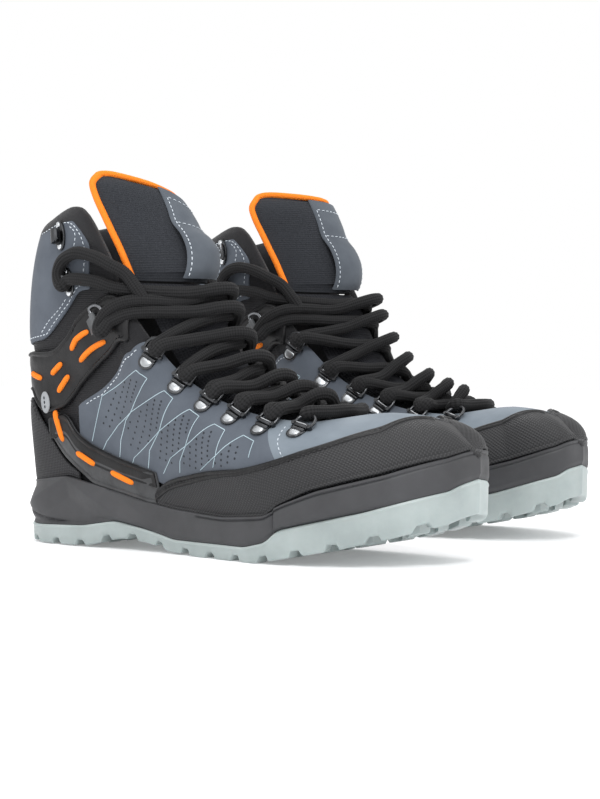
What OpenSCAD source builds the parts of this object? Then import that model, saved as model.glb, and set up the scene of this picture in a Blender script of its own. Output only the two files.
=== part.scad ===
// A pair of lace-up hiking boots, standing side by side with the toes towards -Y.
// Boot space: l runs from the back of the heel to the toe, w points to the outer side, z points up.

/* [Pair] */
// Length of each outsole
sole_len = 304; // [270:1:320]
// Distance between the two boots' centre planes
boot_spacing = 181; // [150:1:240]
// How far the left boot stands behind the right boot
setback = 17; // [0:1:40]

/* [Layers] */
// Thickness of the woven base layer
mesh_t = 1.2; // [0.8:0.1:1.6]
// Thickness of the lining inside the base layer
lining_t = 2.4; // [1.5:0.1:3]
// Greatest thickness of the foam under the collar
collar_foam = 5; // [3:0.5:6]
// Thickness of the blue-grey upper panels
panel_t = 1.3; // [0.8:0.1:1.6]
// Thickness of the toe rand, heel cup and straps
rubber_t = 2; // [1.2:0.1:2.4]
// Gap left between neighbouring layers
layer_gap = 0.15; // [0.05:0.05:0.2]

/* [Lacing] */
// Diameter of the round lace
lace_d = 7.2; // [5:0.1:8]
// Diameter of the thin cord threaded through the ankle strap
cord_d = 3; // [2:0.1:3.4]
// Diameter of the wire of the rings
wire_d = 2; // [1.6:0.1:2.4]
// Width of an eyelet plate
plate_w = 9.6; // [8:0.1:11]

/* [Tongue] */
// Thickness of the padded tongue in the middle
tongue_t = 9; // [6:0.5:11]
// Diameter of the piping round the tongue
piping_d = 3.2; // [2.4:0.1:4]
// Width of the pull strap on the tongue
label_w = 30; // [26:1:34]

/* [Sole] */
// Thickness of the midsole wall that cups the upper
wall_t = 2.5; // [2:0.5:3]
// Height of the tread lugs
lug_h = 4; // [3:0.5:5]
// Thickness of the outsole above the lugs
tread_base = 3; // [2:0.5:3]

/* [Hidden] */
SIDES = ["right", "left"];
PIECES = ["outsole", "midsole", "shank", "insole_board", "footbed", "lining", "collar_foam",
          "base_mesh", "vamp", "quarter_outer", "quarter_inner", "cuff", "toe_rand", "heel_cup",
          "ankle_strap", "arch_straps", "strap_cord", "heel_badge", "strap_ring_outer",
          "strap_ring_inner", "tongue_base", "tongue_flap", "tongue_piping", "tongue_pull",
          "eyelet_plates", "d_rings", "cuff_hooks", "lace"];

// Scale from the reference boot, which is 304 mm long
k = sole_len / 304;
mid_len = 152.53;

// Plan outline of the sole, heel to toe tip: [l, w]
sole_outer = [[0, 0], [6, 19], [22, 30], [60, 35], [120, 37], [165, 45],
              [205, 52], [245, 47], [278, 31], [298, 8], [304, -11]];
sole_inner = [[0, 0], [6, -19], [22, -29], [60, -33], [105, -33], [150, -40],
              [190, -47], [225, -49], [270, -43], [298, -30], [304, -11]];
tip_u = 10;
ridge_u = 8;

// Heights along the length, as [l, z]
rim_z = [[0, 37], [28, 40], [47, 42], [72, 37], [92, 33], [110, 29], [132, 26], [173, 24],
         [206, 26.5], [216, 32.5], [238, 41], [272, 50], [297, 59], [304, 63]];
floor_z = [[0, 30], [60, 28], [110, 22], [150, 19], [200, 19], [240, 24], [275, 33], [304, 44]];
outsole_top_z = [[0, 13], [18, 11.5], [60, 13], [86, 17], [110, 13], [132, 8.5], [190, 8.5],
                 [206, 12], [214, 19], [262, 30], [297, 41], [304, 47]];
ground_z = [[0, 4], [12, 0.5], [60, 0.5], [90, 7], [112, 5], [125, 1.5], [150, 0], [198, 0],
            [217, 3.5], [248, 9.5], [275, 16], [297, 23], [304, 28]];

// Top line of the upper at each knot: collar, throat edge, then the ridge of the vamp [l, w, z]
top_knots = [[0, 0], [1, 1], [2, 2], [3, 3], [3.5, 4], [4, 5], [5, 6], [6, 7], [7, 8], [8, 9],
             [9, 10], [10, 11]];
top_line = [[15, 0, 190], [18, 18, 191], [30, 30, 194], [60, 37, 200], [83, 37, 172],
            [100, 36, 140], [133, 31, 103], [172, 29, 84], [212, 22, 76], [250, -4, 80],
            [281, -10, 75], [296, -11, 62]];
// How the side leaves the top line [dl, dw, dz], and how it leaves the sole [outward, up]
top_pull = [[-19, 0, -42], [-17, 8, -42], [-10, 9, -42], [0, 6, -46], [0, 6, -36], [2, 14, -28],
            [6, 20, -20], [4, 26, -20], [6, 30, -10], [8, 30, -1], [9, 22, -2], [8, 0, -6]];
sole_pull = [[2, 32], [2, 32], [1, 32], [0, 34], [0, 32], [1, 30], [3, 26], [4, 22], [5, 24],
             [6, 26], [5.4, 24], [4.4, 18]];
// Centre of the vamp along the length [l, w]
ridge_w = [[0, 0], [180, 0], [230, -4], [304, -11]];
feather_inset = 6;
waist_depth = 3.2;
waist_z = 103;
waist_h = 15;

function unit(p) = p / norm(p);
function mix(a, b, t) = a + (b - a) * t;
function cubic(a, b, c, d, f) =
    0.5 * (2 * b + (c - a) * f + (2 * a - 5 * b + 4 * c - d) * f * f
           + (3 * b - a - 3 * c + d) * f * f * f);
function spline(p, t) =
    let (n = len(p) - 1, c = min(max(t, 0), n), i = min(floor(c), n - 1))
    cubic(i > 0 ? p[i - 1] : 2 * p[0] - p[1], p[i], p[i + 1],
          i < n - 1 ? p[i + 2] : 2 * p[n] - p[n - 1], c - i);

// From boot space to the left boot's own frame
function place(p) = [p[1], mid_len - p[0], p[2]] * k;
function sole_edge(u, s) = spline(s > 0 ? sole_outer : sole_inner, u);
function sole_out(u, s) =
    let (t = sole_edge(min(u + 0.05, tip_u), s) - sole_edge(max(u - 0.05, 0), s),
         side_dir = unit([-t[1], t[0]]) * s,
         heel = max(0, 1 - u / 0.6),
         toe = max(0, (u - 9.4) / 0.6))
    unit(mix(mix(side_dir, [-1, 0], heel), [1, 0], toe));
// The outer face of the base layer: u from heel to toe, v from the sole to the top line
function top_point(u, s) =
    let (p = spline(top_line, lookup(u, top_knots)))
    s > 0 || u >= ridge_u ? p
    : u > 7 ? [p[0], 2 * mix(0, -4, u - 7) - p[1], p[2]]
    : [p[0], -p[1], p[2]];
function skin(u, v, s) =
    let (edge = sole_edge(u, s), out = sole_out(u, s), knot = lookup(u, top_knots),
         foot = [edge[0] - out[0] * feather_inset, edge[1] - out[1] * feather_inset,
                 lookup(edge[0], floor_z)],
         low = spline(sole_pull, knot), high = spline(top_pull, knot), top = top_point(u, s),
         foot_pull = foot + [out[0] * low[0], out[1] * low[0], low[1]],
         head_pull = top + [high[0], s * high[1], high[2]],
         p = pow(1 - v, 3) * foot + 3 * pow(1 - v, 2) * v * foot_pull
             + 3 * (1 - v) * v * v * head_pull + pow(v, 3) * top,
         waist = waist_depth * sqrt(max(0, 1 - u / 4.2)) * exp(-pow((p[2] - waist_z) / waist_h, 2)))
    p - [out[0] * waist, out[1] * waist, 0];
function skin_normal(u, v, s) =
    let (e = 0.02,
         along = skin(min(u + e, tip_u), v, s) - skin(max(u - e, 0), v, s),
         up = skin(u, min(v + e, 1), s) - skin(u, max(v - e, 0), s),
         n = unit(cross(up, along)) * s)
    u == 0 || u == tip_u || (v == 1 && u >= ridge_u) ? unit([n[0], 0, n[2]]) : n;
function on_skin(u, v, s, d) = place(skin(u, v, s) + skin_normal(u, v, s) * d / k);

// Lowest v at which the skin clears the midsole wall
function v_over_rim(u, s, a = 0, b = 0.5, steps = 9) =
    let (m = (a + b) / 2, p = skin(u, m, s), z = lookup(sole_edge(u, s)[0], rim_z) + 0.6)
    steps == 0 ? b
    : p[2] > z ? v_over_rim(u, s, a, m, steps - 1)
    : v_over_rim(u, s, m, b, steps - 1);

// Lanes are lists of [u, side] along the sole, from the outer side round to the inner side
function lane_round(us) =
    concat([for (u = us) [u, 1]], [for (i = [len(us) - 2 : -1 : 1]) [us[i], -1]]);
function lane_over_toe(us) =
    concat([for (u = us) [u, 1]], [for (i = [len(us) - 2 : -1 : 0]) [us[i], -1]]);
function lane_round_heel(us) =
    concat([for (i = [len(us) - 1 : -1 : 0]) [us[i], 1]], [for (i = [1 : len(us) - 1]) [us[i], -1]]);

// A curved sheet between two offsets from the skin. Its top edge closes on itself over the vamp.
module sheet(lane, low, high, d_in, d_out, rows = 4, closed = false, foam = 0,
             foam_both = false, on_rim = true) {
    n = len(lane);
    m = rows + 1;
    starts = [for (a = lane)
        let (v = lookup(a[0], low)) on_rim ? max(v, v_over_rim(a[0], a[1])) : v];
    function v_at(i, j) = mix(starts[i], lookup(lane[i][0], high), j / rows);
    function zipped(i, j) = j == rows && lane[i][0] >= ridge_u && v_at(i, j) >= 0.999;
    function partner(i) = closed ? (n - i) % n : n - 1 - i;
    function id(i, j, face) =
        let (a = i % n, b = zipped(a, j) && lane[a][1] < 0 ? partner(a) : a)
        face * n * m + b * m + j;
    function bulge(i, v) = foam * foam_share(lane[i][0], v);
    function outer_d(i, v) = d_out - (foam_both ? bulge(i, v) : 0);
    flip = (lane[1][0] - lane[0][0]) * lane[0][1] > 0;
    points = concat(
        [for (i = [0 : n - 1]) for (j = [0 : rows])
            on_skin(lane[i][0], v_at(i, j), lane[i][1], outer_d(i, v_at(i, j)))],
        [for (i = [0 : n - 1]) for (j = [0 : rows])
            on_skin(lane[i][0], v_at(i, j), lane[i][1], d_in - bulge(i, v_at(i, j)))]);
    last = closed ? n - 1 : n - 2;
    function quad(a, b, c, d) = [[a, b, c], [a, c, d]];
    outer = [for (i = [0 : last]) for (j = [0 : rows - 1])
        each quad(id(i, j, 0), id(i, j + 1, 0), id(i + 1, j + 1, 0), id(i + 1, j, 0))];
    inner = [for (i = [0 : last]) for (j = [0 : rows - 1])
        each quad(id(i, j, 1), id(i + 1, j, 1), id(i + 1, j + 1, 1), id(i, j + 1, 1))];
    bottom = [for (i = [0 : last])
        each quad(id(i, 0, 0), id(i + 1, 0, 0), id(i + 1, 0, 1), id(i, 0, 1))];
    top = [for (i = [0 : last]) if (!(zipped(i % n, rows) && zipped((i + 1) % n, rows)))
        each quad(id(i, rows, 0), id(i, rows, 1), id(i + 1, rows, 1), id(i + 1, rows, 0))];
    ends = closed ? [] : [for (j = [0 : rows - 1])
        each concat(quad(id(0, j, 0), id(0, j, 1), id(0, j + 1, 1), id(0, j + 1, 0)),
                    quad(id(n - 1, j, 0), id(n - 1, j + 1, 0), id(n - 1, j + 1, 1),
                         id(n - 1, j, 1)))];
    faces = concat(outer, inner, bottom, top, ends);
    polyhedron(points, flip ? [for (f = faces) [f[2], f[1], f[0]]] : faces, convexity = 8);
}

// Share of the collar foam at a place on the skin
function foam_share(u, v) =
    let (r = min(1, max(0, (3.5 - u) / 0.9)), h = max(0, min(1, (v - 0.6) / 0.18, (0.98 - v) / 0.14)))
    r * sin(90 * h);

// A slab or cup whose rings follow the sole outline: each ring is [inset, height table, extra z]
module sole_rings(rings, steps = 24) {
    n = 2 * steps;
    function at(i) = i <= steps ? [i, 1] : [n - i, -1];
    points = [for (r = rings) for (i = [0 : n - 1])
        let (a = at(i), u = a[0] * tip_u / steps, edge = sole_edge(u, a[1]), out = sole_out(u, a[1]))
        place([edge[0] - out[0] * r[0], edge[1] - out[1] * r[0], lookup(edge[0], r[1]) + r[2]])];
    sides = [for (j = [0 : len(rings) - 2]) for (i = [0 : n - 1])
        let (a = j * n + i, b = j * n + (i + 1) % n)
        each [[a, a + n, b + n], [a, b + n, b]]];
    function cap(o, flip) = [for (i = [0 : steps - 1])
        let (a = o + i, b = o + i + 1, c = o + (n - i - 1), d = o + (n - i) % n)
        each (i == 0 ? [flip ? [a, c, b] : [a, b, c]]
              : i == steps - 1 ? [flip ? [a, d, b] : [a, b, d]]
              : flip ? [[a, d, c], [a, c, b]] : [[a, c, d], [a, b, c]])];
    faces = concat(sides, cap(0, false), cap((len(rings) - 1) * n, true));
    polyhedron(points, [for (f = faces) [f[2], f[1], f[0]]], convexity = 8);
}

// A round tube along a list of points
module tube(path, d, sides = 8) {
    n = len(path);
    function heading(i) = unit(path[min(i + 1, n - 1)] - path[max(i - 1, 0)]);
    function carry(f, i) = let (h = heading(i)) unit(f - h * (f * h));
    function frames(i, f) =
        i >= n ? [] : let (g = carry(f, i)) concat([g], frames(i + 1, g));
    start = abs(heading(0)[2]) < 0.9 ? [0, 0, 1] : [1, 0, 0];
    across = frames(0, start);
    points = [for (i = [0 : n - 1]) for (a = [0 : sides - 1])
        path[i] + d / 2 * (across[i] * cos(a * 360 / sides)
                           + cross(heading(i), across[i]) * sin(a * 360 / sides))];
    wall = [for (i = [0 : n - 2]) for (a = [0 : sides - 1])
        let (p = i * sides + a, q = i * sides + (a + 1) % sides)
        each [[p, p + sides, q + sides], [p, q + sides, q]]];
    polyhedron(points, concat([[for (a = [0 : sides - 1]) a]], wall,
                              [[for (a = [sides - 1 : -1 : 0]) (n - 1) * sides + a]]), convexity = 8);
}

// Puts hardware on the skin: +X along the upper towards the toe, +Y towards the top, +Z outwards
module on_upper(u, v, s, lift = 0, turn = 0) {
    e = 0.03;
    z_dir = let (a = on_skin(u, v, s, 1), b = on_skin(u, v, s, 0)) unit(a - b);
    up = on_skin(u, min(v + e, 1), s, 0) - on_skin(u, v - e, s, 0);
    y_dir = unit(up - z_dir * (up * z_dir));
    x_dir = cross(y_dir, z_dir);
    translate(on_skin(u, v, s, lift))
        rotate([atan2(y_dir[2], z_dir[2]), -asin(x_dir[2]), atan2(x_dir[1], x_dir[0])])
            rotate(turn)
                children();
}

stations = [0, 0.6, 1.2, 1.8, 2.3, 2.6, 2.9, 3.2, 3.5, 3.8, 4.1, 4.45, 4.8, 5.3, 5.8, 6.2, 6.6,
            7, 7.4, 7.7, 8, 8.35, 8.7, 9, 9.3, 9.65, 10];
function stations_in(a, b) = [for (u = stations) if (u >= a && u <= b) u];
whole = [[0, 1], [tip_u, 1]];
panel_in = 2 * layer_gap;
panel_out = panel_in + panel_t;
cover_in = panel_out + 2 * layer_gap;
cover_out = cover_in + rubber_t;
foam_out = -(mesh_t + layer_gap);
lining_out = foam_out - 1 - layer_gap;

// Sole ------------------------------------------------------------------------------------
lug_rows = [16, 33, 50, 67];
fore_rows = [136, 159, 182, 205, 228, 251, 275];
module lug(l, w, turn) {
    edge_z = lookup(l, ground_z);
    slope = atan((lookup(l + 6, ground_z) - edge_z) / 6);
    translate(place([l, w, edge_z]))
        rotate([-max(0, slope), 0, 0])
            rotate(turn)
                linear_extrude(lug_h + 1.5)
                    polygon([[-7, -4.5], [4, -4.5], [7.5, 0], [4, 4.5], [-7, 4.5], [-3.5, 0]]);
}
module outsole() {
    color("#a9b9ba")
        sole_rings([[3, ground_z, lug_h], [0.8, ground_z, lug_h - 0.6], [0, ground_z, lug_h + 1],
                    [0, outsole_top_z, -0.6], [0.7, outsole_top_z, 0], [2.2, outsole_top_z, -0.3],
                    [2.8, ground_z, lug_h + tread_base]]);
}
module tread() {
    color("#9fb0b1")
        for (rows = [lug_rows, fore_rows])
            for (l = rows)
                let (outer = spline(sole_outer, u_at(l, sole_outer))[1],
                     inner = spline(sole_inner, u_at(l, sole_inner))[1],
                     count = outer - inner > 80 ? 4 : outer - inner > 56 ? 3 : 2)
                    for (i = [0 : count - 1])
                        lug(l + 0.01, mix(inner + 9.5, outer - 9.5, i / (count - 1)),
                            i < count / 2 ? 180 : 0);
}
// Knot of an outline that lies at length l
function u_at(l, edge) =
    let (i = min([for (j = [0 : len(edge) - 2]) if (edge[j + 1][0] >= l) j]))
    i + (l - edge[i][0]) / (edge[i + 1][0] - edge[i][0]);
module midsole() {
    color("#3b3d42")
        sole_rings([[3.1, ground_z, lug_h + tread_base + layer_gap], [2.5, outsole_top_z, 0.15],
                    [0.6, outsole_top_z, 0.15], [-0.3, outsole_top_z, 2], [0, rim_z, -4],
                    [1.2, rim_z, 0], [wall_t, rim_z, -0.2], [wall_t + 0.4, floor_z, -3.2]]);
}
module shank() {
    ls = [for (l = [70 : 10 : 150]) l];
    half = 9;
    t = 1;
    rows = len(ls);
    points = [for (l = ls) for (c = [[-half, 0], [half, 0], [half, t], [-half, t]])
        place([l, c[0], lookup(l, floor_z) - 3.1 + c[1]])];
    wall = [for (i = [0 : rows - 2]) for (a = [0 : 3])
        let (p = i * 4 + a, q = i * 4 + (a + 1) % 4)
        each [[p, p + 4, q + 4], [p, q + 4, q]]];
    ends = [[0, 1, 2, 3], [for (a = [3 : -1 : 0]) (rows - 1) * 4 + a]];
    color("silver")
        polyhedron(points, concat(wall, ends));
}
module insole_board() {
    color("#c9b893")
        sole_rings([[wall_t + 1, floor_z, -1.9], [wall_t + 1, floor_z, -0.9]]);
}
module footbed() {
    color("#4a4d52")
        sole_rings([[feather_inset + 5.6, floor_z, 0.6], [feather_inset + 5.6, floor_z, 6.6],
                    [feather_inset + 8.6, floor_z, 6.6], [feather_inset + 13, floor_z, 4.4]]);
}

// Upper -----------------------------------------------------------------------------------
module base_mesh() {
    color("#1d1e21")
        sheet(lane_round(stations), [[0, 0.01], [10, 0.01]], whole, -mesh_t, 0, rows = 10,
              closed = true, on_rim = false);
}
module lining() {
    color("#26272b")
        sheet(lane_round(stations), [[0, 0.02], [10, 0.02]],
              [[0, 0.985], [2.6, 0.985], [3.2, 0.86], [4.1, 0.88], [4.6, 0.97], [7.2, 0.985], [8, 1],
               [10, 1]],
              lining_out - lining_t, lining_out, rows = 5, closed = true, foam = collar_foam,
              foam_both = true, on_rim = false);
}
module collar_foam_pad() {
    color("#d8d2b8")
        sheet(lane_round_heel([0, 0.6, 1.2, 1.8, 2.3, 2.6, 2.9, 3.2]), [[0, 0.6], [10, 0.6]],
              [[0, 0.97], [2.6, 0.97], [3.2, 0.88]], foam_out - 1, foam_out, rows = 4,
              foam = collar_foam);
}
module vamp() {
    color("#5b6673")
        sheet(lane_over_toe(stations_in(6.6, 10)),
              [[0, 0.05], [10, 0.05]], [[0, 0.99], [7.7, 0.99], [8, 1], [10, 1]],
              panel_in, panel_out, rows = 5);
}
quarter_low = [[2.8, 0.3], [3, 0.24], [3.4, 0.21], [3.9, 0.19], [4.6, 0.15], [6.6, 0.05]];
quarter_high = [[2.8, 0.35], [3, 0.38], [3.3, 0.45], [3.6, 0.57], [4, 0.77], [4.25, 0.88],
                [4.45, 0.99], [6.6, 0.99]];
module quarter(s) {
    color("#5b6673")
        sheet([for (u = concat(stations_in(2.9, 6.2), [6.55])) [u, s]],
              quarter_low, quarter_high, panel_in, panel_out, rows = 6);
}
module cuff() {
    color("#5b6673")
        sheet(lane_round_heel(stations_in(0, 3.2)),
              [[0, 0.57], [2.3, 0.58], [2.8, 0.66], [3.2, 0.76]],
              [[0, 0.97], [2.8, 0.97], [3.2, 0.9]], panel_in, panel_out, rows = 4);
}
module toe_rand() {
    color("#2a2b2e")
        sheet(lane_over_toe(stations_in(4.1, 10)),
              [[0, 0.03], [10, 0.03]],
              [[4, 0.1], [4.4, 0.23], [5.7, 0.45], [7, 0.6], [8, 0.64], [8.3, 0.75], [8.7, 0.9],
               [9, 1], [10, 1]], cover_in, cover_out, rows = 3);
}
module heel_cup() {
    color("#3a3b3f")
        sheet(lane_round_heel(stations_in(0, 2.9)), [[0, 0.03], [10, 0.03]],
              [[0, 0.4], [1.6, 0.4], [2.2, 0.3], [2.6, 0.18], [3, 0.11]], cover_in, cover_out,
              rows = 3);
}
strap_low = [[0, 0.42], [1.6, 0.42], [2.2, 0.34], [2.7, 0.36], [3, 0.43], [3.3, 0.53], [3.6, 0.64],
             [4.1, 0.87]];
strap_high = [[0, 0.55], [1.8, 0.55], [2.5, 0.54], [2.9, 0.6], [3.3, 0.73], [3.6, 0.87],
              [3.9, 0.97], [4.1, 0.98]];
module ankle_strap() {
    color("#17181a")
        sheet(lane_round_heel(concat(stations_in(0, 3.8), [4])),
              strap_low, strap_high, cover_in, cover_out, rows = 3);
}
module arch_straps() {
    color("#17181a")
        for (s = [1, -1])
            sheet([for (u = concat(stations_in(2.3, 3.8), [4.04])) [u, s]],
                  [[2.3, 0.29], [2.65, 0.19], [2.95, 0.13], [3.2, 0.08], [3.9, 0.05]],
                  [[2.3, 0.33], [2.7, 0.34], [2.88, 0.28], [3.1, 0.25], [3.5, 0.235], [4.2, 0.235]],
                  cover_in, cover_out, rows = 3);
}

// Cord laid along the ankle strap and down to the arch, as [u, v]
cord_route = [[3.5, 0.62], [3.28, 0.575], [3.04, 0.565], [2.8, 0.5], [2.62, 0.42], [2.52, 0.36],
              [2.56, 0.31], [2.66, 0.27], [2.8, 0.23], [3.06, 0.2], [3.3, 0.18], [3.55, 0.17]];
module strap_cord() {
    color("#f57a1f")
        for (s = [1, -1])
            let (n = len(cord_route) - 1, steps = 15)
                tube([for (i = [0 : steps])
                         let (p = spline(cord_route, i * n / steps))
                         on_skin(p[0], p[1], s, cover_out + cord_d / 2 + 0.3)], cord_d, 6);
}
module heel_badge() {
    color("#c9ced2")
        on_upper(2.25, 0.37, 1, cover_out + 0.1)
            linear_extrude(1.4)
                difference() {
                    circle(d = 9.5, $fn = 48);
                    circle(d = 3.2, $fn = 32);
                }
}

// Hardware --------------------------------------------------------------------------------
ring_legs = 3.2;
ring_w = 11.6;
crimp_d = 3.4;
ring_tilt = 14;
// Turn of the plates towards the toe
eyelet_turn = 38;
// Places of the six eyelets on each side, top to bottom: [u, v]
eyelets_outer = [[4.44, 0.86], [4.98, 0.89], [5.5, 0.905], [5.98, 0.905], [6.48, 0.875], [7, 0.845]];
eyelets_inner = [[4.2, 0.84], [4.85, 0.87], [5.42, 0.9], [5.95, 0.9], [6.55, 0.88], [7.15, 0.86]];
function eyelets(s) = s > 0 ? eyelets_outer : eyelets_inner;
module eyelet_plate() {
    difference() {
        union() {
            translate([0, -3, 0])
                linear_extrude(1.1)
                    union() {
                        circle(d = plate_w, $fn = 40);
                        translate([-plate_w / 2, 0])
                            square([plate_w, 6]);
                    }
            translate([0, -3, 0])
                cylinder(d = 5, h = 1.9, $fn = 32);
            translate([-plate_w / 2, 3, crimp_d / 2])
                rotate([0, 90, 0])
                    cylinder(d = crimp_d, h = plate_w, $fn = 24);
        }
        translate([-plate_w, 3, crimp_d / 2])
            rotate([0, 90, 0])
                cylinder(d = wire_d + 0.2, h = 2 * plate_w, $fn = 24);
    }
}
module eyelet_plates() {
    color("#3f4246")
        for (s = [1, -1])
            for (e = eyelets(s))
                on_upper(e[0], e[1], s, panel_out + 0.1, s * eyelet_turn)
                    eyelet_plate();
}
// A D-shaped wire ring: straight bar on the X axis, two legs along Y and a round front
module wire_ring(width, legs) {
    rotate([0, 90, 0])
        cylinder(d = wire_d, h = width, center = true, $fn = 24);
    for (side = [-1, 1])
        translate([side * width / 2, 0, 0]) {
            cylinder(d = wire_d * 1.3, h = wire_d * 1.3, center = true, $fn = 24);
            rotate([-90, 0, 0])
                cylinder(d = wire_d, h = legs, $fn = 24);
        }
    translate([0, legs, 0])
        rotate_extrude(angle = 180, $fn = 48)
            translate([width / 2, 0])
                circle(d = wire_d, $fn = 24);
}
module d_rings() {
    color("#2f3236")
        for (s = [1, -1])
            for (e = eyelets(s))
                on_upper(e[0], e[1], s, panel_out + 0.1, s * eyelet_turn)
                    translate([0, 3, crimp_d / 2])
                        rotate([ring_tilt, 0, 0])
                            wire_ring(ring_w, ring_legs);
}
strap_ring_w = 13;
strap_ring_legs = 2;
strap_ring_at = [3.37, 0.69];
strap_ring_lift = 2.6;
strap_ring_tilt = 10;
module strap_ring(s) {
    color("#8b8f94")
        on_upper(strap_ring_at[0], strap_ring_at[1], s, cover_out + strap_ring_lift, s * 60)
            rotate([strap_ring_tilt, 0, 0])
                wire_ring(strap_ring_w, strap_ring_legs);
}
hooks = [[2.6, 0.9], [2.82, 0.74]];
module cuff_hooks() {
    color("#4a4d52")
        for (s = [1, -1])
            for (h = hooks)
                on_upper(h[0], h[1], s, panel_out + 0.1, -s * 14)
                    difference() {
                        union() {
                            translate([-3.4, -7, 0])
                                cube([6.8, 14, 1.2]);
                            translate([-2.6, -5, 1])
                                cube([5.2, 10, 3.4]);
                        }
                        translate([-4, -3.2, 1.2])
                            cube([6, 6.4, 2]);
                    }
}

// Tongue ----------------------------------------------------------------------------------
// How far the padded top leans over: share of its height lost from its outer to its inner edge
lean_right = 0.7;
lean_left = -0.2;
lean_from_z = 176;
// Place of a point on the padded top, which sinks and narrows towards its lower edge
function leaning(l, w, z) =
    let (drop = max(z - lean_from_z, 0) * (abs($lean) / 2 - $lean * w / 68))
    place([l, w * (1 - max(drop, 0) * 0.006), z - drop]);
// Front face of the tongue in the middle, heel-ward bow and half width: [l, z, bow, half_w]
tongue_rows = [[234, 68, 3, 10], [212, 76, 7, 17], [190, 84, 9, 21], [170, 94, 12, 23],
               [151, 110, 17, 25], [136, 134, 22, 26], [127.5, 157, 30, 28],
               [121, 178, 32, 31], [115.5, 197, 35.5, 34], [110, 214, 37, 36], [105.5, 225, 31, 28]];
tongue_base_rows = [for (i = [0 : 6]) tongue_rows[i]];
tongue_flap_rows = concat([[127, 158.2, 30, 28]], [for (i = [7 : 10]) tongue_rows[i]]);
function tongue_dir(rows, i) =
    let (a = rows[max(i - 1, 0)], b = rows[min(i + 1, len(rows) - 1)],
         t = unit([b[0] - a[0], b[1] - a[1]]))
    [t[1], -t[0]];
// Direction in which the sides of the tongue curve back: level with the ground near the top
function row_bow(n, z) = unit(mix(n, [1, 0], lookup(z, [[115, 0], [157, 1]])));
// Point on the tongue: row i, across -1..1, depth below the front face
function tongue_point(rows, i, across, depth) =
    let (r = rows[i], n = tongue_dir(rows, i), q = row_bow(n, r[1]) * r[2] * across * across)
    leaning(r[0] - n[0] * depth - q[0], r[3] * across, r[1] - n[1] * depth - q[1]);
function tongue_depth(across) = 3 + (tongue_t - 3) * (1 - pow(across, 4));
module tongue_sheet(rows) {
    cols = 8;
    n = len(rows);
    m = cols + 1;
    points = concat(
        [for (i = [0 : n - 1]) for (j = [0 : cols]) tongue_point(rows, i, 2 * j / cols - 1, 0)],
        [for (i = [0 : n - 1]) for (j = [0 : cols])
            let (a = 2 * j / cols - 1) tongue_point(rows, i, a, tongue_depth(a))]);
    function id(i, j, f) = f * n * m + i * m + j;
    function quad(a, b, c, d) = [[a, b, c], [a, c, d]];
    front = [for (i = [0 : n - 2]) for (j = [0 : cols - 1])
        each quad(id(i, j, 0), id(i, j + 1, 0), id(i + 1, j + 1, 0), id(i + 1, j, 0))];
    back = [for (i = [0 : n - 2]) for (j = [0 : cols - 1])
        each quad(id(i, j, 1), id(i + 1, j, 1), id(i + 1, j + 1, 1), id(i, j + 1, 1))];
    flanks = [for (i = [0 : n - 2])
        each concat(quad(id(i, 0, 0), id(i + 1, 0, 0), id(i + 1, 0, 1), id(i, 0, 1)),
                    quad(id(i, cols, 0), id(i, cols, 1), id(i + 1, cols, 1), id(i + 1, cols, 0)))];
    ends = [for (j = [0 : cols - 1])
        each concat(quad(id(0, j, 0), id(0, j, 1), id(0, j + 1, 1), id(0, j + 1, 0)),
                    quad(id(n - 1, j, 0), id(n - 1, j + 1, 0), id(n - 1, j + 1, 1), id(n - 1, j, 1)))];
    polyhedron(points, [for (f = concat(front, back, flanks, ends)) [f[2], f[1], f[0]]],
               convexity = 6);
}
module tongue_base() {
    color("#202226")
        tongue_sheet(tongue_base_rows);
}
module tongue_flap() {
    color("#202226")
        tongue_sheet(tongue_flap_rows);
}
module tongue_piping() {
    rows = tongue_flap_rows;
    n = len(rows);
    edge = 1 + (piping_d / 2 + 0.2) / 36;
    rise = [0, 0, piping_d / 2 + 0.3];
    color("#f57a1f")
        tube(concat([for (i = [1 : n - 1]) tongue_point(rows, i, -edge, 1.6)],
                    [for (a = [-0.7, -0.35, 0, 0.35, 0.7]) tongue_point(rows, n - 1, a, 2) + rise],
                    [for (i = [n - 1 : -1 : 1]) tongue_point(rows, i, edge, 1.6)]), piping_d, 8);
}
// Line of the pull strap in front of the flap, bottom to top: [l, z]
pull_line = [[127.3, 160.5], [124.4, 170], [121.6, 179], [118.9, 188.5], [116.2, 197.5], [113.6, 205]];
pull_gap = 0.4;
pull_t = 1.6;
module tongue_pull() {
    half = label_w / 2;
    n = len(pull_line);
    cols = 4;
    m = 2 * (cols + 1);
    function corner(i, j, f) =
        let (d = tongue_dir(pull_line, i), w = -half + j * label_w / cols, back = 31 * pow(w / 32, 2),
             out = pull_gap + f * pull_t)
        leaning(pull_line[i][0] + d[0] * out - back, w, pull_line[i][1] + d[1] * out);
    points = [for (i = [0 : n - 1]) for (f = [0, 1]) for (j = [0 : cols]) corner(i, j, f)];
    ring = concat([for (j = [0 : cols]) j], [for (j = [cols : -1 : 0]) cols + 1 + j]);
    wall = [for (i = [0 : n - 2]) for (a = [0 : m - 1])
        let (p = i * m + ring[a], q = i * m + ring[(a + 1) % m])
        each [[p, q, q + m], [p, q + m, p + m]]];
    bottom = [for (j = [0 : cols - 1])
        each [[j, cols + 1 + j, cols + 2 + j], [j, cols + 2 + j, j + 1]]];
    top = [for (f = bottom) [f[2] + (n - 1) * m, f[1] + (n - 1) * m, f[0] + (n - 1) * m]];
    color("#5b6673")
        polyhedron(points, concat(wall, bottom, top), convexity = 4);
}

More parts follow.
